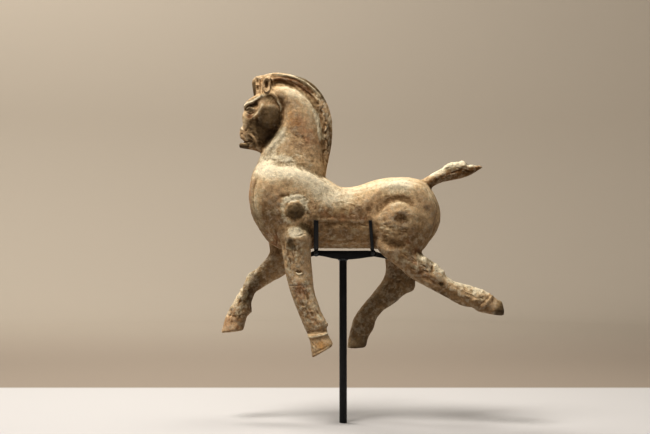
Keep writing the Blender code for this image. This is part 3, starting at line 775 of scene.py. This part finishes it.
# Each kind of wear has its size, its height and its depth of detail.
WEATHERING = (
    ("dents", 0.014, 0.0009, 2),
    ("crumbled_skin", 0.0042, 0.0006, 3),
    ("grain", 0.0019, 0.0003, 1),
)


def weather(piece, name, size, height, **settings):
    """Raises and sinks the skin of a piece by clouds of a size."""
    clouds = bpy.data.textures.new(name, "CLOUDS")
    clouds.noise_scale = size
    for key, value in settings.items():
        setattr(clouds, key, value)
    apply_modifier(
        piece, "DISPLACE", texture=clouds, texture_coords="LOCAL", strength=height, mid_level=0.5
    )


for name, size, height, detail in WEATHERING:
    weather(horse, name, size, height, noise_depth=detail, noise_basis="IMPROVED_PERLIN")

triangles = sum(len(face.vertices) - 2 for face in horse.data.polygons)
share_kept = min(1, CLAY_TRIANGLES / triangles)
apply_modifier(horse, "DECIMATE", ratio=share_kept, use_collapse_triangulate=True)
horse.data.shade_smooth()
print("clay:", triangles, "triangles thinned to", len(horse.data.polygons))

# %% [markdown]
# ## Where slip, soil and stains lie
# Colour on old clay follows its shape. Soil stays in the hollows, the pale slip is rubbed back to the
# clay on the ridges, and whole patches are stained where the horse lay. The first two are measured on
# the mesh itself: a point that lies below the average of its neighbours is in a hollow. Light and shade
# are painted in as well: pale slip on upward faces, upper rims and ridges is painted light, and brown
# and dark on downward faces, in grooves, under the tail and legs and on the far hind leg are painted
# shade.
# The patches are laid with the same tools as the carving, from one table. Each colour has an attribute
# of its own, from 0 to 1 at every point. An amount below 0 wipes a colour off again.


# %% Measure hollows and ridges
FINE_ROUNDS, BROAD_ROUNDS = 4, 24


def hollowness(points, normals, ends, rounds):
    """How far each point lies below the surface round it, in millimetres."""
    counts = np.bincount(ends.ravel(), minlength=len(points)).astype(float)
    averaged = points.copy()
    for _ in range(rounds):
        averaged = neighbour_average(averaged, ends, counts)
    return ((averaged - points) * normals).sum(1) * MILLIMETRES


clay = Clay(horse)
fine_hollow = hollowness(clay.points, clay.normals, clay.ends, FINE_ROUNDS)
broad_hollow = hollowness(clay.points, clay.normals, clay.ends, BROAD_ROUNDS)
print("hollows reach", round(float(broad_hollow.max()), 2), "mm")

# %% Lay the patches
def lay(name, share, amount):
    """Adds a share of one colour to the clay."""
    patches[name] += share * amount


def soft_path(path, width, where=BOTH, fade=0.15, crisp=1.0):
    """A broad soft stroke for colour."""
    return clay.line(path, width, where, fade, crisp)


def glow(path, width, where=BOTH):
    """A stroke for colour that thins out slowly on both sides."""
    return clay.line(path, width, where, 0.3, 2.2)


def mottle(start, end, spread, count, where, names, size=3.0, amount=0.6):
    """Random blots of several colours between two places."""
    for k, middle, along, across in scatter(start, end, spread, count):
        reach = (along * RANDOM.uniform(0.5, 1.6) + across * RANDOM.normal(0, 0.3)) * size
        width = size * RANDOM.uniform(0.5, 1.1)
        blot = clay.line([middle - reach, middle, middle + reach], width, where, 0.4)
        lay(names[k % len(names)], blot, amount * RANDOM.uniform(0.5, 1.2))


# Shares for the painted light on upward faces and the painted shade on downward faces.
SLIP_AND_TOP_LIGHT, SOIL_AND_UNDER_SHADE = 0.5, 0.95
CHEEK_STAIN_TOP, CHEEK_STAIN_FADE = 154.5, 15
BOSS_HIGHLIGHT_BLOTS = 34
BACK_OF_FAR_LEG = [(66, -20), (56, -46), (30, -66), (18, -96), (16, -112)]
UNDER_TAIL = [(86, 61), (97, 67), (110, 72), (121, 74.4), (130, 75), (138, 78)]
LOW_ON_TAIL = [(86, 61.5), (97, 67.5), (110, 72.6), (121, 75), (130, 75.6), (138, 78.4)]
TAIL_FLANK = [(86, 62), (104, 70), (121, 75), (138, 78.4)]
MANE_FOOT = [(-28, 137), (-25, 128), (-23.5, 118), (-22, 108)]

spot, circle = clay.disc, clay.ring
# Each patch has its tool, its amount, its width or radius in millimetres and its place.
PATCHES = {
    "cream": (
        (glow, 0.75, 24, [(-92, 56), (-86, 76), (-58, 78), (-34, 68), (-12, 54), (12, 52)]),
        (glow, 0.3, 17, [(-34, 62), (-16, 50), (4, 46), (22, 50)]),
        (glow, 0.5, 12, [(-68, 160), (-56, 157), (-42, 152), (-32, 140), (-26, 124)]),
        (soft_path, 0.9, 2.8, [(-30, 141), (-25.5, 130), (-23.5, 118), (-22, 106)]),
        (glow, 0.85, 15, [(-86, 86), (-76, 84), (-64, 84), (-46, 86)]),
        # Painted highlight along the front ridge of the neck.
        (glow, 1.05, 11, [(-56, 121), (-63, 111.5), (-71, 102.5), (-79, 94)]),
        # Painted highlights: pale slip along the brow ledge, the cheek rim, the ridge below the eye and
        # the nostril, where these ridges would catch the light while the face lies in shade.
        (soft_path, 0.9, 2.2, [(-99.5, 140), (-96.5, 144.5), (-88, 149), (-78, 154)]),
        (glow, 0.35, 9, [(-82, 150), (-75, 150.5), (-67, 147)]),
        (soft_path, 1.0, 2.0, [(-66, 150), (-62.4, 141), (-62.4, 137)]),
        (soft_path, 0.6, 1.7, [(-80, 146), (-83, 139.5), (-90, 131)]),
        (spot, 0.8, 2.4, (-101.6, 119.4), ALL_ROUND),
        # Pale slip and a painted highlight along the raised rim of the mane.
        (soft_path, 0.9, 1.6, [(-73, 174.6), (-51.5, 172.6), (-34, 163.7), (-21.5, 150)]),
        (glow, 0.2, 7, [(46, 38), (50, 43.5), (58, 45.5), (66, 42)]),
        # Pale slip and painted light along the upward top of the tail.
        (soft_path, 0.95, 5, [(84, 72), (100, 80), (118, 86), (136, 83)], ALL_ROUND),
        (glow, 0.4, 9, [(38, 30), (40, 22), (48, 17), (60, 15)]),
        # Pale slip and painted light on the upward top of the near forearm's cap.
        (spot, 1.2, (16, 10), (-48, 16), NEAR_ROUND),
        (glow, 0.75, 15, [(36, 56), (56, 62), (74, 58)]),
        (spot, 0.65, (11, 9), (79, -11), NEAR),
        (glow, 0.35, 9, [(0, 56), (24, 61), (44, 66)]),
        # Pale slip and painted light along the upward top of the near hind leg.
        (glow, 0.6, 8, [(72, -4), (86, -11), (102, -24), (118, -34), (146, -45)], NEAR_ROUND),
        (glow, 0.6, 6, [(-76, 0), (-94, -22), (-108, -48), (-120, -72)], FAR_ROUND),
        (soft_path, 0.8, 1.5, [(-38, -88), (-24, -88), (-12, -83.5)], NEAR),
        (spot, 1.0, 1.6, (-38, -33), NEAR),
        (spot, 0.7, (4, 3), (86, -21.6), NEAR),
        (glow, 0.4, 7, [(80, 64), (87, 54), (92, 42)]),
        # Painted highlight down the front edge of the chest.
        (glow, 0.75, 8, [(-84, 62), (-88, 46), (-85, 28), (-78, 14)], ALL_ROUND),
        # Painted highlights on the front edge of the face and on the upper eyelid.
        (glow, 0.6, 4, [(-98.6, 134), (-99.8, 127), (-101, 120)], ALL_ROUND),
        (soft_path, 0.3, 1.0, [(-97.4, 139.6), (-94.4, 141.6), (-91, 141.2)]),
        # Painted highlight along the upper rim of the shoulder boss.
        (glow, 0.8, 6, [(-61, 43), (-56, 49.5), (-48, 51.5), (-40, 49), (-35, 43)]),
        (soft_path, 0.8, 1.8, [(-47.3, -24.4), (-43.7, -26.4), (-40.2, -24.6)], NEAR),
        (soft_path, -0.5, 5, TAIL_FLANK, ALL_ROUND, 0.02, 0.6),
        (soft_path, 0.6, 2.6, MANE_FOOT),
    ),
    "dark": (
        # Painted highlights: these wipe the dark stain off the nostril, the upper lip and the ridge
        # behind the mouth.
        (spot, -1.2, 2.6, (-101.6, 119.4), ALL_ROUND),
        (soft_path, -0.7, 2.4, [(-102, 111), (-98.5, 109.4), (-96, 109.6)], ALL_ROUND),
        (soft_path, -0.35, 1.8, [(-95, 115), (-90.4, 112.6), (-88, 108), (-86.3, 104), (-85.4, 99.6)]),
        (spot, 1.1, (12, 11.6), (-47.5, 37.4), BOTH, 0.6),
        (spot, -0.4, (6, 3.5), (-50, 44)),
        (spot, 0.62, (16, 17), (-86, 114), ALL_ROUND, 0.5),
        (spot, 0.55, (8, 8), (-92, 125), ALL_ROUND, 0.6),
        (spot, 0.15, (10, 10), (-83, 103), BOTH, 0.6),
        # A painted highlight on the front edge of the face, painted shade in the eye socket under the
        # brow and on the eye, and a painted highlight on the upper eyelid.
        (glow, -0.6, 4, [(-99.6, 134), (-100.6, 127), (-101.6, 120)], ALL_ROUND),
        (soft_path, 0.6, 3.2, [(-98.5, 138), (-93, 142.4), (-84, 147)]),
        (spot, 0.4, (6.5, 5), (-93, 138)),
        (spot, 0.6, (3.4, 2.8), (-92.3, 139.2)),
        (soft_path, -0.5, 1.0, [(-97.4, 139.6), (-94.4, 141.6), (-91, 141.2)]),
        (glow, 0.3, 10, [(-76, 40), (-72, 30), (-67, 21)]),
        (spot, 0.5, (16, 10), (59, 28.5), BOTH, 1.0),
        (soft_path, 1.5, 4.0, [(-50, 176.5), (-35, 170), (-22, 158), (-15, 146)], ALL_ROUND),
        # Painted shade in the groove under the shoulder boss, above the forearm's cap.
        (glow, 0.9, 6, [(-48, 24), (-40, 22), (-34, 18), (-32, 8)]),
        (glow, 0.9, 8, [(-53, 12), (-52, 4), (-50, -4)], NEAR),
        (soft_path, 1.0, 9, [(153, -70), (159, -62), (161, -50)], NEAR_ROUND),
        (glow, 0.55, 6, [(-17, 136), (-14, 122), (-14, 104), (-16, 88)]),
        (glow, 0.66, 13, [(-70, -8), (-88, -32), (-96, -50), (-96, -70)], FAR_ROUND),
        (spot, 1.0, (4, 3), (98, -36), NEAR),
        # Painted shadow of the body on the far hind hoof.
        (spot, 0.95, (16, 16), (20, -104), FAR_ROUND),
        (soft_path, 1.4, 4, [(-106, 102.6), (-100, 102), (-94, 102)], ALL_ROUND, 0.02),
        (soft_path, 0.8, 2.6, [(-89.5, 168), (-89, 152)], ALL_ROUND),
        (glow, 0.42, 8, [(34, 13), (44, 8), (55, 3.5), (64, 5)]),
        # Painted shadow of the body on the back of the far hind leg.
        (soft_path, 0.45, 24, BACK_OF_FAR_LEG, FAR_ROUND, 0.05),
        # Painted shade along the underside of the near hind leg.
        (glow, 0.6, 11, [(84, -38), (112, -58), (146, -70)], NEAR_ROUND),
        # Painted shade along the underside of the tail.
        (soft_path, 0.5, 5, UNDER_TAIL, ALL_ROUND, 0.02, 0.6),
        (soft_path, -0.8, 2.6, MANE_FOOT),
    ),
    "brown": (
        (glow, 0.7, 7, [(-64, 126), (-68, 116), (-76, 104), (-80, 100)], ALL_ROUND),
        (spot, 0.8, (4, 4), (-89.4, 138.5)),
        (spot, 0.6, (5, 4), (-85.4, 145)),
        (glow, 0.65, 17, [(-78, 48), (-74, 32), (-66, 20)]),
        (glow, 0.6, 4, [(-66, 51), (-58, 54), (-44, 56)]),
        (spot, 0.4, (18, 12), (53, 30)),
        # Painted shade in the sunken strip under the overhanging mane.
        (soft_path, 0.9, 3.5, [(-70, 167), (-60, 167), (-50, 162)]),
        (soft_path, 0.8, 3.4, [(-64, 170.5), (-50, 167.5), (-40, 161.5), (-31, 153)]),
        (glow, 0.5, 13, [(-54, 134), (-48, 122), (-44, 108)]),
        (glow, 0.7, 13, [(-30, 32), (-8, 34), (20, 33), (32, 30)]),
        (soft_path, 0.15, 14, [(-28, 12), (0, 13), (28, 12)]),
        (glow, 0.85, 20, [(44, 0), (62, -4), (78, 8), (90, 24)]),
        # Painted shade along the arched groove over the hip.
        (glow, 0.6, 8, [(29, 34), (38, 46), (52, 51.5), (66, 49), (74, 42)]),
        (spot, 0.25, (14, 12), (-66, 46)),
        (soft_path, 1.0, 15, [(-66, 4), (-76, -26), (-94, -62), (-104, -78)], FAR_ROUND),
        # Painted shadow of the body over the far hind leg.
        (soft_path, 1.0, 26, [(56, 0), (54, -40), (20, -70), (14, -96)], FAR_ROUND),
        # Painted shade along the underside of the near hind leg.
        (glow, 1.5, 15, [(84, -36), (112, -56), (148, -68)], NEAR_ROUND),
        # Painted shade low on the tail.
        (soft_path, 1.8, 5.5, LOW_ON_TAIL, ALL_ROUND, 0.02, 0.6),
        (glow, 0.2, 8, [(-30, -60), (-22, -80)], NEAR_ROUND),
        (soft_path, -0.9, 2.6, MANE_FOOT),
        (spot, 0.3, (14, 22), (-42, -60), NEAR),
    ),
    "rust": (
        (spot, 0.9, (5, 5), (-94, 132.5)),
        (glow, 0.55, 14, [(-104, -58), (-112, -70), (-112, -88)], FAR_ROUND),
        (glow, 0.6, 17, [(-56, 136), (-46, 128), (-34, 110), (-34, 92)]),
        (spot, 0.2, (10, 13), (-48, 126)),
        (soft_path, 1.0, 4, [(-72, 171), (-56, 170), (-42, 163), (-30, 152)]),
        (spot, 1.1, (14, 13), (-42, -41), NEAR),
        (soft_path, 0.7, 5, [(-88, 74), (-94, 54), (-91, 32), (-82, 12)], ALL_ROUND),
        (spot, 0.4, (24, 20), (55, 30)),
        (soft_path, 0.6, 6, [(-70, 20), (-68, 6), (-70, -4)], NEAR),
        (spot, 0.7, (5, 4), (-93, 133)),
        (soft_path, 0.5, 7, [(-26, 32), (0, 31), (26, 30)]),
        (soft_path, 0.5, 6, [(66, -14), (80, -26), (96, -36)], NEAR),
        (spot, 0.3, (9, 9), (-118, -76), FAR_LEGS),
        (soft_path, 1.3, 5, TAIL_FLANK, ALL_ROUND, 0.02, 0.6),
    ),
    "ochre": (
        (glow, 0.5, 13, [(-58, 144), (-52, 130), (-46, 116)]),
        (spot, 1.0, (15, 9), (-21, -96), NEAR),
        (soft_path, 0.9, 5, TAIL_FLANK, ALL_ROUND, 0.02, 0.6),
    ),
    "specks": (
        (soft_path, 0.9, 8, [(-34, 52), (-18, 40), (0, 42)]),
        (circle, 0.8, 14, SHOULDER_BOSS, 6),
        (soft_path, 0.8, 15, [(-48, 14), (-46, -20), (-34, -60), (-22, -84)], NEAR),
        (soft_path, 0.9, 15, [(70, -4), (96, -24), (146, -52)], NEAR),
        (soft_path, 0.9, 14, [(-76, 0), (-94, -24), (-116, -72)], FAR_LEGS),
        (soft_path, 1.0, 8, [(-24, 150), (-16, 130), (-15, 100)], ALL_ROUND),
        (soft_path, 0.7, 9, [(88, 68), (112, 80), (138, 82)], ALL_ROUND),
        (spot, 0.5, (22, 20), (54, 28)),
        (spot, 0.35, (18, 22), (-50, 104)),
    ),
}

patches = {name: np.zeros(len(clay.points)) for name in PATCHES}
upward = clay.normals[:, 2]
for name, marks in PATCHES.items():
    for mark, amount, size, place, *more in marks:
        lay(name, mark(place, size, *more), amount)
# Painted light and shade: every upward face gets pale slip and every downward face brown, so tops read
# lighter and undersides darker.
lay("cream", np.clip((upward + 0.05) / 1.1, 0, 1), SLIP_AND_TOP_LIGHT)
lay("brown", np.clip((-upward + 0.1) / 0.6, 0, 1), SOIL_AND_UNDER_SHADE)
below_the_rim = soft_edge((CHEEK_STAIN_TOP - clay.seen(1)[:, 1]) / CHEEK_STAIN_FADE)
lay("dark", spot((-73, 126), (17, 23), rim=0.4) * below_the_rim, 0.6)
# Painted highlight: pale slip blots round the boss's rim, left off its lower side, where the rim would
# catch the overhead light.
for angle in RANDOM.uniform(-0.9, 4.4, BOSS_HIGHLIGHT_BLOTS):
    blot = round_boss(angle, RANDOM.normal(12.4, 1.8))
    size = (RANDOM.uniform(2, 4.4), RANDOM.uniform(1.8, 3.6))
    lay("cream", spot(blot, size), RANDOM.uniform(0.6, 1.1))
print("patches:", {name: len(marks) for name, marks in PATCHES.items()})

# %% Scatter small blots
# Each row has the two ends and the spread of a strip, the number of blots, the side, and the colours.
MOTTLED = (
    ((-52, 116), (-36, 108), 4, 12, BOTH, ("dark", "brown"), 2.0, 0.4),
    ((-74, 18), (-64, 0), 4, 16, NEAR, ("rust", "cream", "rust"), 2.6, 0.8),
    ((-54, 14), (-46, -22), 9, 40, NEAR, ("cream", "brown"), 2.0, 1.0),
    ((-46, -24), (-24, -80), 9, 80, NEAR, ("cream", "brown", "rust", "brown"), 2.0, 0.8),
    ((-30, -92), (-18, -104), 9, 14, NEAR, ("cream", "brown"), 2.0, 0.5),
    ((-72, -2), (-94, -26), 11, 40, FAR_ROUND, ("brown", "cream", "brown", "rust"), 3.0, 0.9),
    ((-94, -26), (-116, -80), 11, 70, FAR_ROUND, ("brown", "cream", "rust", "cream"), 2.6, 0.9),
    ((54, 2), (84, -24), 12, 50, NEAR, ("cream", "brown", "rust", "brown"), 3.0, 0.7),
    ((88, -14), (146, -46), 9, 70, NEAR_ROUND, ("cream", "brown", "rust", "cream"), 2.8, 0.7),
    ((60, -20), (24, -80), 14, 40, FAR_LEGS, ("brown", "cream"), 4.0, 0.2),
    ((-24, 12), (24, 12), 12, 40, BOTH, ("brown", "ochre", "cream"), 4.0, 0.45),
    ((-30, 38), (28, 34), 9, 50, BOTH, ("brown", "rust", "brown", "cream"), 3.2, 0.5),
    ((36, 18), (66, 14), 8, 30, BOTH, ("cream", "brown"), 2.2, 0.5),
    ((62, 34), (84, 30), 12, 34, BOTH, ("cream", "brown"), 3.0, 0.4),
    ((-70, 90), (-30, 86), 9, 30, BOTH, ("cream", "brown"), 2.6, 0.4),
    ((-76, 44), (-66, 18), 12, 30, BOTH, ("brown", "cream"), 3.4, 0.4),
    ((-22, 142), (-16, 94), 5, 50, ALL_ROUND, ("cream", "brown", "brown"), 2.2, 0.6),
    ((-44, 173), (-18, 148), 4, 30, ALL_ROUND, ("cream", "brown"), 2.0, 0.8),
)

for row in MOTTLED:
    mottle(*row)
print("blots:", sum(row[3] for row in MOTTLED))

# %% Store the patches as attributes
# Each has the depth in millimetres that counts in full, and the share that it adds.
BROAD_DENT, FINE_DENT = (0.4, 0.55), (0.08, 0.4)
BROAD_CREST, FINE_CREST = (0.35, 0.6), (0.07, 0.4)


def depth_share(depth, full, share):
    return np.clip(depth / full, 0, 1) * share


patches["hollow"] = depth_share(broad_hollow, *BROAD_DENT) + depth_share(fine_hollow, *FINE_DENT)
patches["ridge"] = depth_share(-broad_hollow, *BROAD_CREST) + depth_share(-fine_hollow, *FINE_CREST)
for name, amount in patches.items():
    attribute = clay.mesh.attributes.new(name, "FLOAT", "POINT")
    attribute.data.foreach_set("value", np.clip(amount, 0, 1).astype(np.float32))
print("attributes:", sorted(patches))

# %% [markdown]
# ## The finish of the clay
# The material stacks its layers in the order in which they came: fired clay that varies from tan to
# brown, a rusty blush, ochre, the pale slip in torn patches, which also carries painted light on tops,
# rims and ridges, brown soil, which also carries painted shade on undersides and in grooves, dark
# stains, which also carry painted shade in the eye, under the tail and legs and on the far hind leg,
# and last a scatter of pale flecks. Soil and stains are thin washes, which let the clay below show
# through.
# Noise breaks the edge of every layer, so none ends in a clean line. The first number of each noise
# and of each torn edge is its size in metres.

# %% Build the fired clay
TAN_CLAY, BROWN_CLAY = (0.63, 0.44, 0.25), (0.395, 0.25, 0.133)
RUST, OCHRE = (0.46, 0.24, 0.12), (0.66, 0.38, 0.15)
CREAM_SLIP_AND_LIGHT, YELLOW_SLIP_AND_LIGHT, GREY_SLIP_AND_LIGHT = (0.85, 0.755, 0.555), (0.76, 0.60, 0.36), (0.60, 0.52, 0.37)
SOIL_AND_SHADE_WASH, STAIN_AND_SHADE_WASH = (0.39, 0.335, 0.27), (0.25, 0.235, 0.195)
FLECK = (0.84, 0.76, 0.58)


def fired_clay():
    graph = Graph("fired_clay")
    cream, specks = graph.attribute("cream"), graph.attribute("specks")
    # The dark attribute holds real stains and also painted shade: in the eye socket, in a groove under
    # the shoulder, under the tail, under the near hind leg and on the far hind leg.
    stain_and_shade = graph.torn(graph.attribute("dark"), 0.004, 0.3, 0.42, 0.94)
    undarkened = graph.ramp(stain_and_shade, 0, 1, 1, 0.15)

    burnt = graph.ramp(graph.noise(0.018, 7, 0.66), 0.42, 0.64, 0, 0.8)
    colour = graph.over(TAN_CLAY, BROWN_CLAY, burnt)
    colour = graph.over(colour, RUST, graph.torn(graph.attribute("rust"), 0.006, 0.7, 0.35, 0.75))
    colour = graph.over(colour, OCHRE, graph.torn(graph.attribute("ochre"), 0.004, 0.6, 0.3, 0.9))

    # The slip's share is the cream attribute, which also holds painted light on upward faces, on upper
    # rims and ridges and on the tops of the tail and legs.
    slip_and_light = graph.over(YELLOW_SLIP_AND_LIGHT, CREAM_SLIP_AND_LIGHT, graph.ramp(cream, 0.3, 1.0))
    slip_and_light = graph.over(slip_and_light, GREY_SLIP_AND_LIGHT, graph.ramp(graph.noise(0.009, 5, 0.65), 0.55, 0.7, 0, 0.5))
    colour = graph.over(colour, slip_and_light, graph.torn(cream, 0.0045, 0.9, 0.5, 0.95))

    # The brown attribute holds real soil and also painted shade on downward faces, in grooves, under
    # the tail and legs and on the far hind leg.
    soil_and_shade = graph.torn(graph.attribute("brown"), 0.005, 0.8, 0.5, 0.8)
    colour = graph.glaze(colour, SOIL_AND_SHADE_WASH, soil_and_shade)
    settled = graph.ramp(graph.noise(0.004, 5, 0.6), 0.3, 0.6)
    settled = graph.times(graph.attribute("hollow"), settled)
    colour = graph.glaze(colour, SOIL_AND_SHADE_WASH, graph.times(settled, 0.8))
    colour = graph.glaze(colour, STAIN_AND_SHADE_WASH, stain_and_shade)
    crumbs = graph.ramp(graph.noise(0.0019, 4, 0.7), 0.58, 0.66)
    crumbs = graph.times(crumbs, graph.ramp(specks, 0, 1, 0.14, 0.8))
    colour = graph.glaze(colour, SOIL_AND_SHADE_WASH, crumbs)

    rubbed = graph.ramp(graph.noise(0.005, 5, 0.65), 0.42, 0.62)
    rubbed = graph.times(graph.attribute("ridge"), rubbed)
    rubbed = graph.times(rubbed, graph.ramp(specks, 0, 1, 0.25, 0.6))
    colour = graph.over(colour, FLECK, graph.times(rubbed, undarkened))
    flecks = graph.ramp(graph.noise(0.0020, 4, 0.75), 0.64, 0.69)
    flecks = graph.times(flecks, graph.ramp(specks, 0, 1, 0.08, 0.65))
    colour = graph.over(colour, FLECK, graph.times(flecks, undarkened))

    coarse = graph.ramp(graph.noise(0.0042, 6, 0.7), 0.3, 0.7, 0.80, 1.20)
    fine = graph.ramp(graph.noise(0.0012, 3, 0.7), 0.3, 0.7, 0.90, 1.12)
    grained = graph.node("HueSaturation", Value=graph.times(coarse, fine), Color=colour)
    roughness = graph.ramp(graph.noise(0.004, 4), 0.3, 0.7, 0.78, 0.97)
    grain = graph.times(graph.noise(0.0011, 3, 0.7), 0.35)
    grain = graph.math("ADD", grain, graph.noise(0.0030, 6, 0.7))
    bump = graph.node("Bump", Strength=0.7, Distance=0.0014, Height=grain)
    return graph.finish(grained.outputs["Color"], roughness, 0.2, bump)


horse.data.materials.append(fired_clay())
print("fired clay has", len(horse.data.materials[0].node_tree.nodes), "nodes")

# %% [markdown]
# ## The stand
# A mount maker saws the bar, bends the straps round the belly, brazes them together and paints the
# lot black. Filed steel has no sharp edge, so each copy of a solid gets a small Bevel, and each
# joint gets a lump of braze that shows a little grey through the paint.

# %% Round the edges of bar and straps
FILED_EDGE = 0.00035
FLAT_ENOUGH, SHARP_CORNER, SHARP_SHADING = math.radians(1), math.radians(40), math.radians(35)
STEEL = {
    "saddle_bar": "painted_bar",
    "front_strap": "painted_front_strap",
    "rear_strap": "painted_rear_strap",
    "stand_rod": "painted_rod",
}


def filed_copy(node, name):
    """A copy of a solid of the stand with its flat sides made whole and its edges filed round."""
    piece = copy_of_solid(node, name)
    bpy.ops.object.mode_set(mode="EDIT")
    bpy.ops.mesh.select_all(action="SELECT")
    bpy.ops.mesh.dissolve_limited(angle_limit=FLAT_ENOUGH)
    bpy.ops.object.mode_set(mode="OBJECT")
    edge = {"width": FILED_EDGE, "segments": 3, "limit_method": "ANGLE", "angle_limit": SHARP_CORNER}
    apply_modifier(piece, "BEVEL", **edge)
    piece.data.shade_smooth()
    piece.data.set_sharp_from_angle(angle=SHARP_SHADING)
    return piece


stand = {filed_copy(node, name): node for node, name in STEEL.items()}
print("stand:", {piece.name: len(piece.data.polygons) for piece in stand})

# %% Add the brazed joints
BRAZE_SIZE = Vector((0.0032, 0.0046, 0.0034))
ROD_BRAZE_SIZE = Vector((0.0052, 0.0046, 0.0018))
BRAZE_CLOUDS, BRAZE_BUMPS = 0.0025, 0.0008
ROD_BRAZE_LIFT = 0.0004


def braze_lump(name, place, size):
    """A rounded, slightly uneven lump of braze."""
    bpy.ops.mesh.primitive_uv_sphere_add(segments=32, ring_count=18, radius=1, location=place)
    lump = bpy.context.object
    lump.name = name
    lump.scale = size
    bpy.ops.object.transform_apply(location=True, rotation=True, scale=True)
    weather(lump, name, BRAZE_CLOUDS, BRAZE_BUMPS)
    lump.data.shade_smooth()
    return lump


bar_low, bar_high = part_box("saddle_bar")
front_low, front_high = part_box("front_strap")
rear_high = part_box("rear_strap")[1]
braze_height = bar_high.z - BRAZE_SIZE.z * 0.75
joints = [
    braze_lump("front_strap_braze", ((front_low.x + front_high.x) / 2, 0, braze_height), BRAZE_SIZE),
    braze_lump("rear_strap_braze", (rear_high.x - BRAZE_SIZE.x / 2, 0, braze_height), BRAZE_SIZE),
    braze_lump("rod_braze", (0, 0, bar_low.z + ROD_BRAZE_LIFT), ROD_BRAZE_SIZE),
]
print("joints:", [joint.name for joint in joints])

# %% Paint the stand
DARK_PAINT, WORN_PAINT = (0.004, 0.0042, 0.0046), (0.010, 0.0104, 0.0112)
BRAZE_PAINT, BARE_BRAZE = (0.014, 0.015, 0.017), (0.085, 0.10, 0.11)


def black_paint():
    graph = Graph("satin_black_paint")
    tone = graph.over(DARK_PAINT, WORN_PAINT, graph.ramp(graph.noise(0.01, 4), 0.35, 0.7))
    roughness = graph.ramp(graph.noise(0.004, 4), 0.3, 0.7, 0.42, 0.58)
    bump = graph.node("Bump", Strength=0.25, Distance=0.0002, Height=graph.noise(0.0008, 2))
    return graph.finish(tone, roughness, 0.3, bump)


def braze_paint():
    graph = Graph("painted_braze")
    worn = graph.ramp(graph.noise(0.002, 4, 0.6), 0.4, 0.65)
    return graph.finish(graph.over(BRAZE_PAINT, BARE_BRAZE, worn), graph.ramp(worn, 0, 1, 0.55, 0.38))


paint, joint_paint = black_paint(), braze_paint()
for piece in stand:
    piece.data.materials.append(paint)
for joint in joints:
    joint.data.materials.append(joint_paint)
# The solids below take the same finishes, so they look alike where they are shown plain.
finishes = {"horse": horse.data.materials[0], **{node: paint for node in stand.values()}}
for node, finish in finishes.items():
    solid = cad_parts[node].data
    solid.materials.clear()
    solid.materials.append(finish)
print("materials:", sorted(material.name for material in bpy.data.materials))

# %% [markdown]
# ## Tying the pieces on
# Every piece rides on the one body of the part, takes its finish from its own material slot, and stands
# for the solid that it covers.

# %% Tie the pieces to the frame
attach(horse, "root")
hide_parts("horse")
for piece, node in stand.items():
    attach(piece, "root")
    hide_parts(node)
for joint in joints:
    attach(joint, "root")
print("tied:", [horse.name, *(piece.name for piece in [*stand, *joints])])
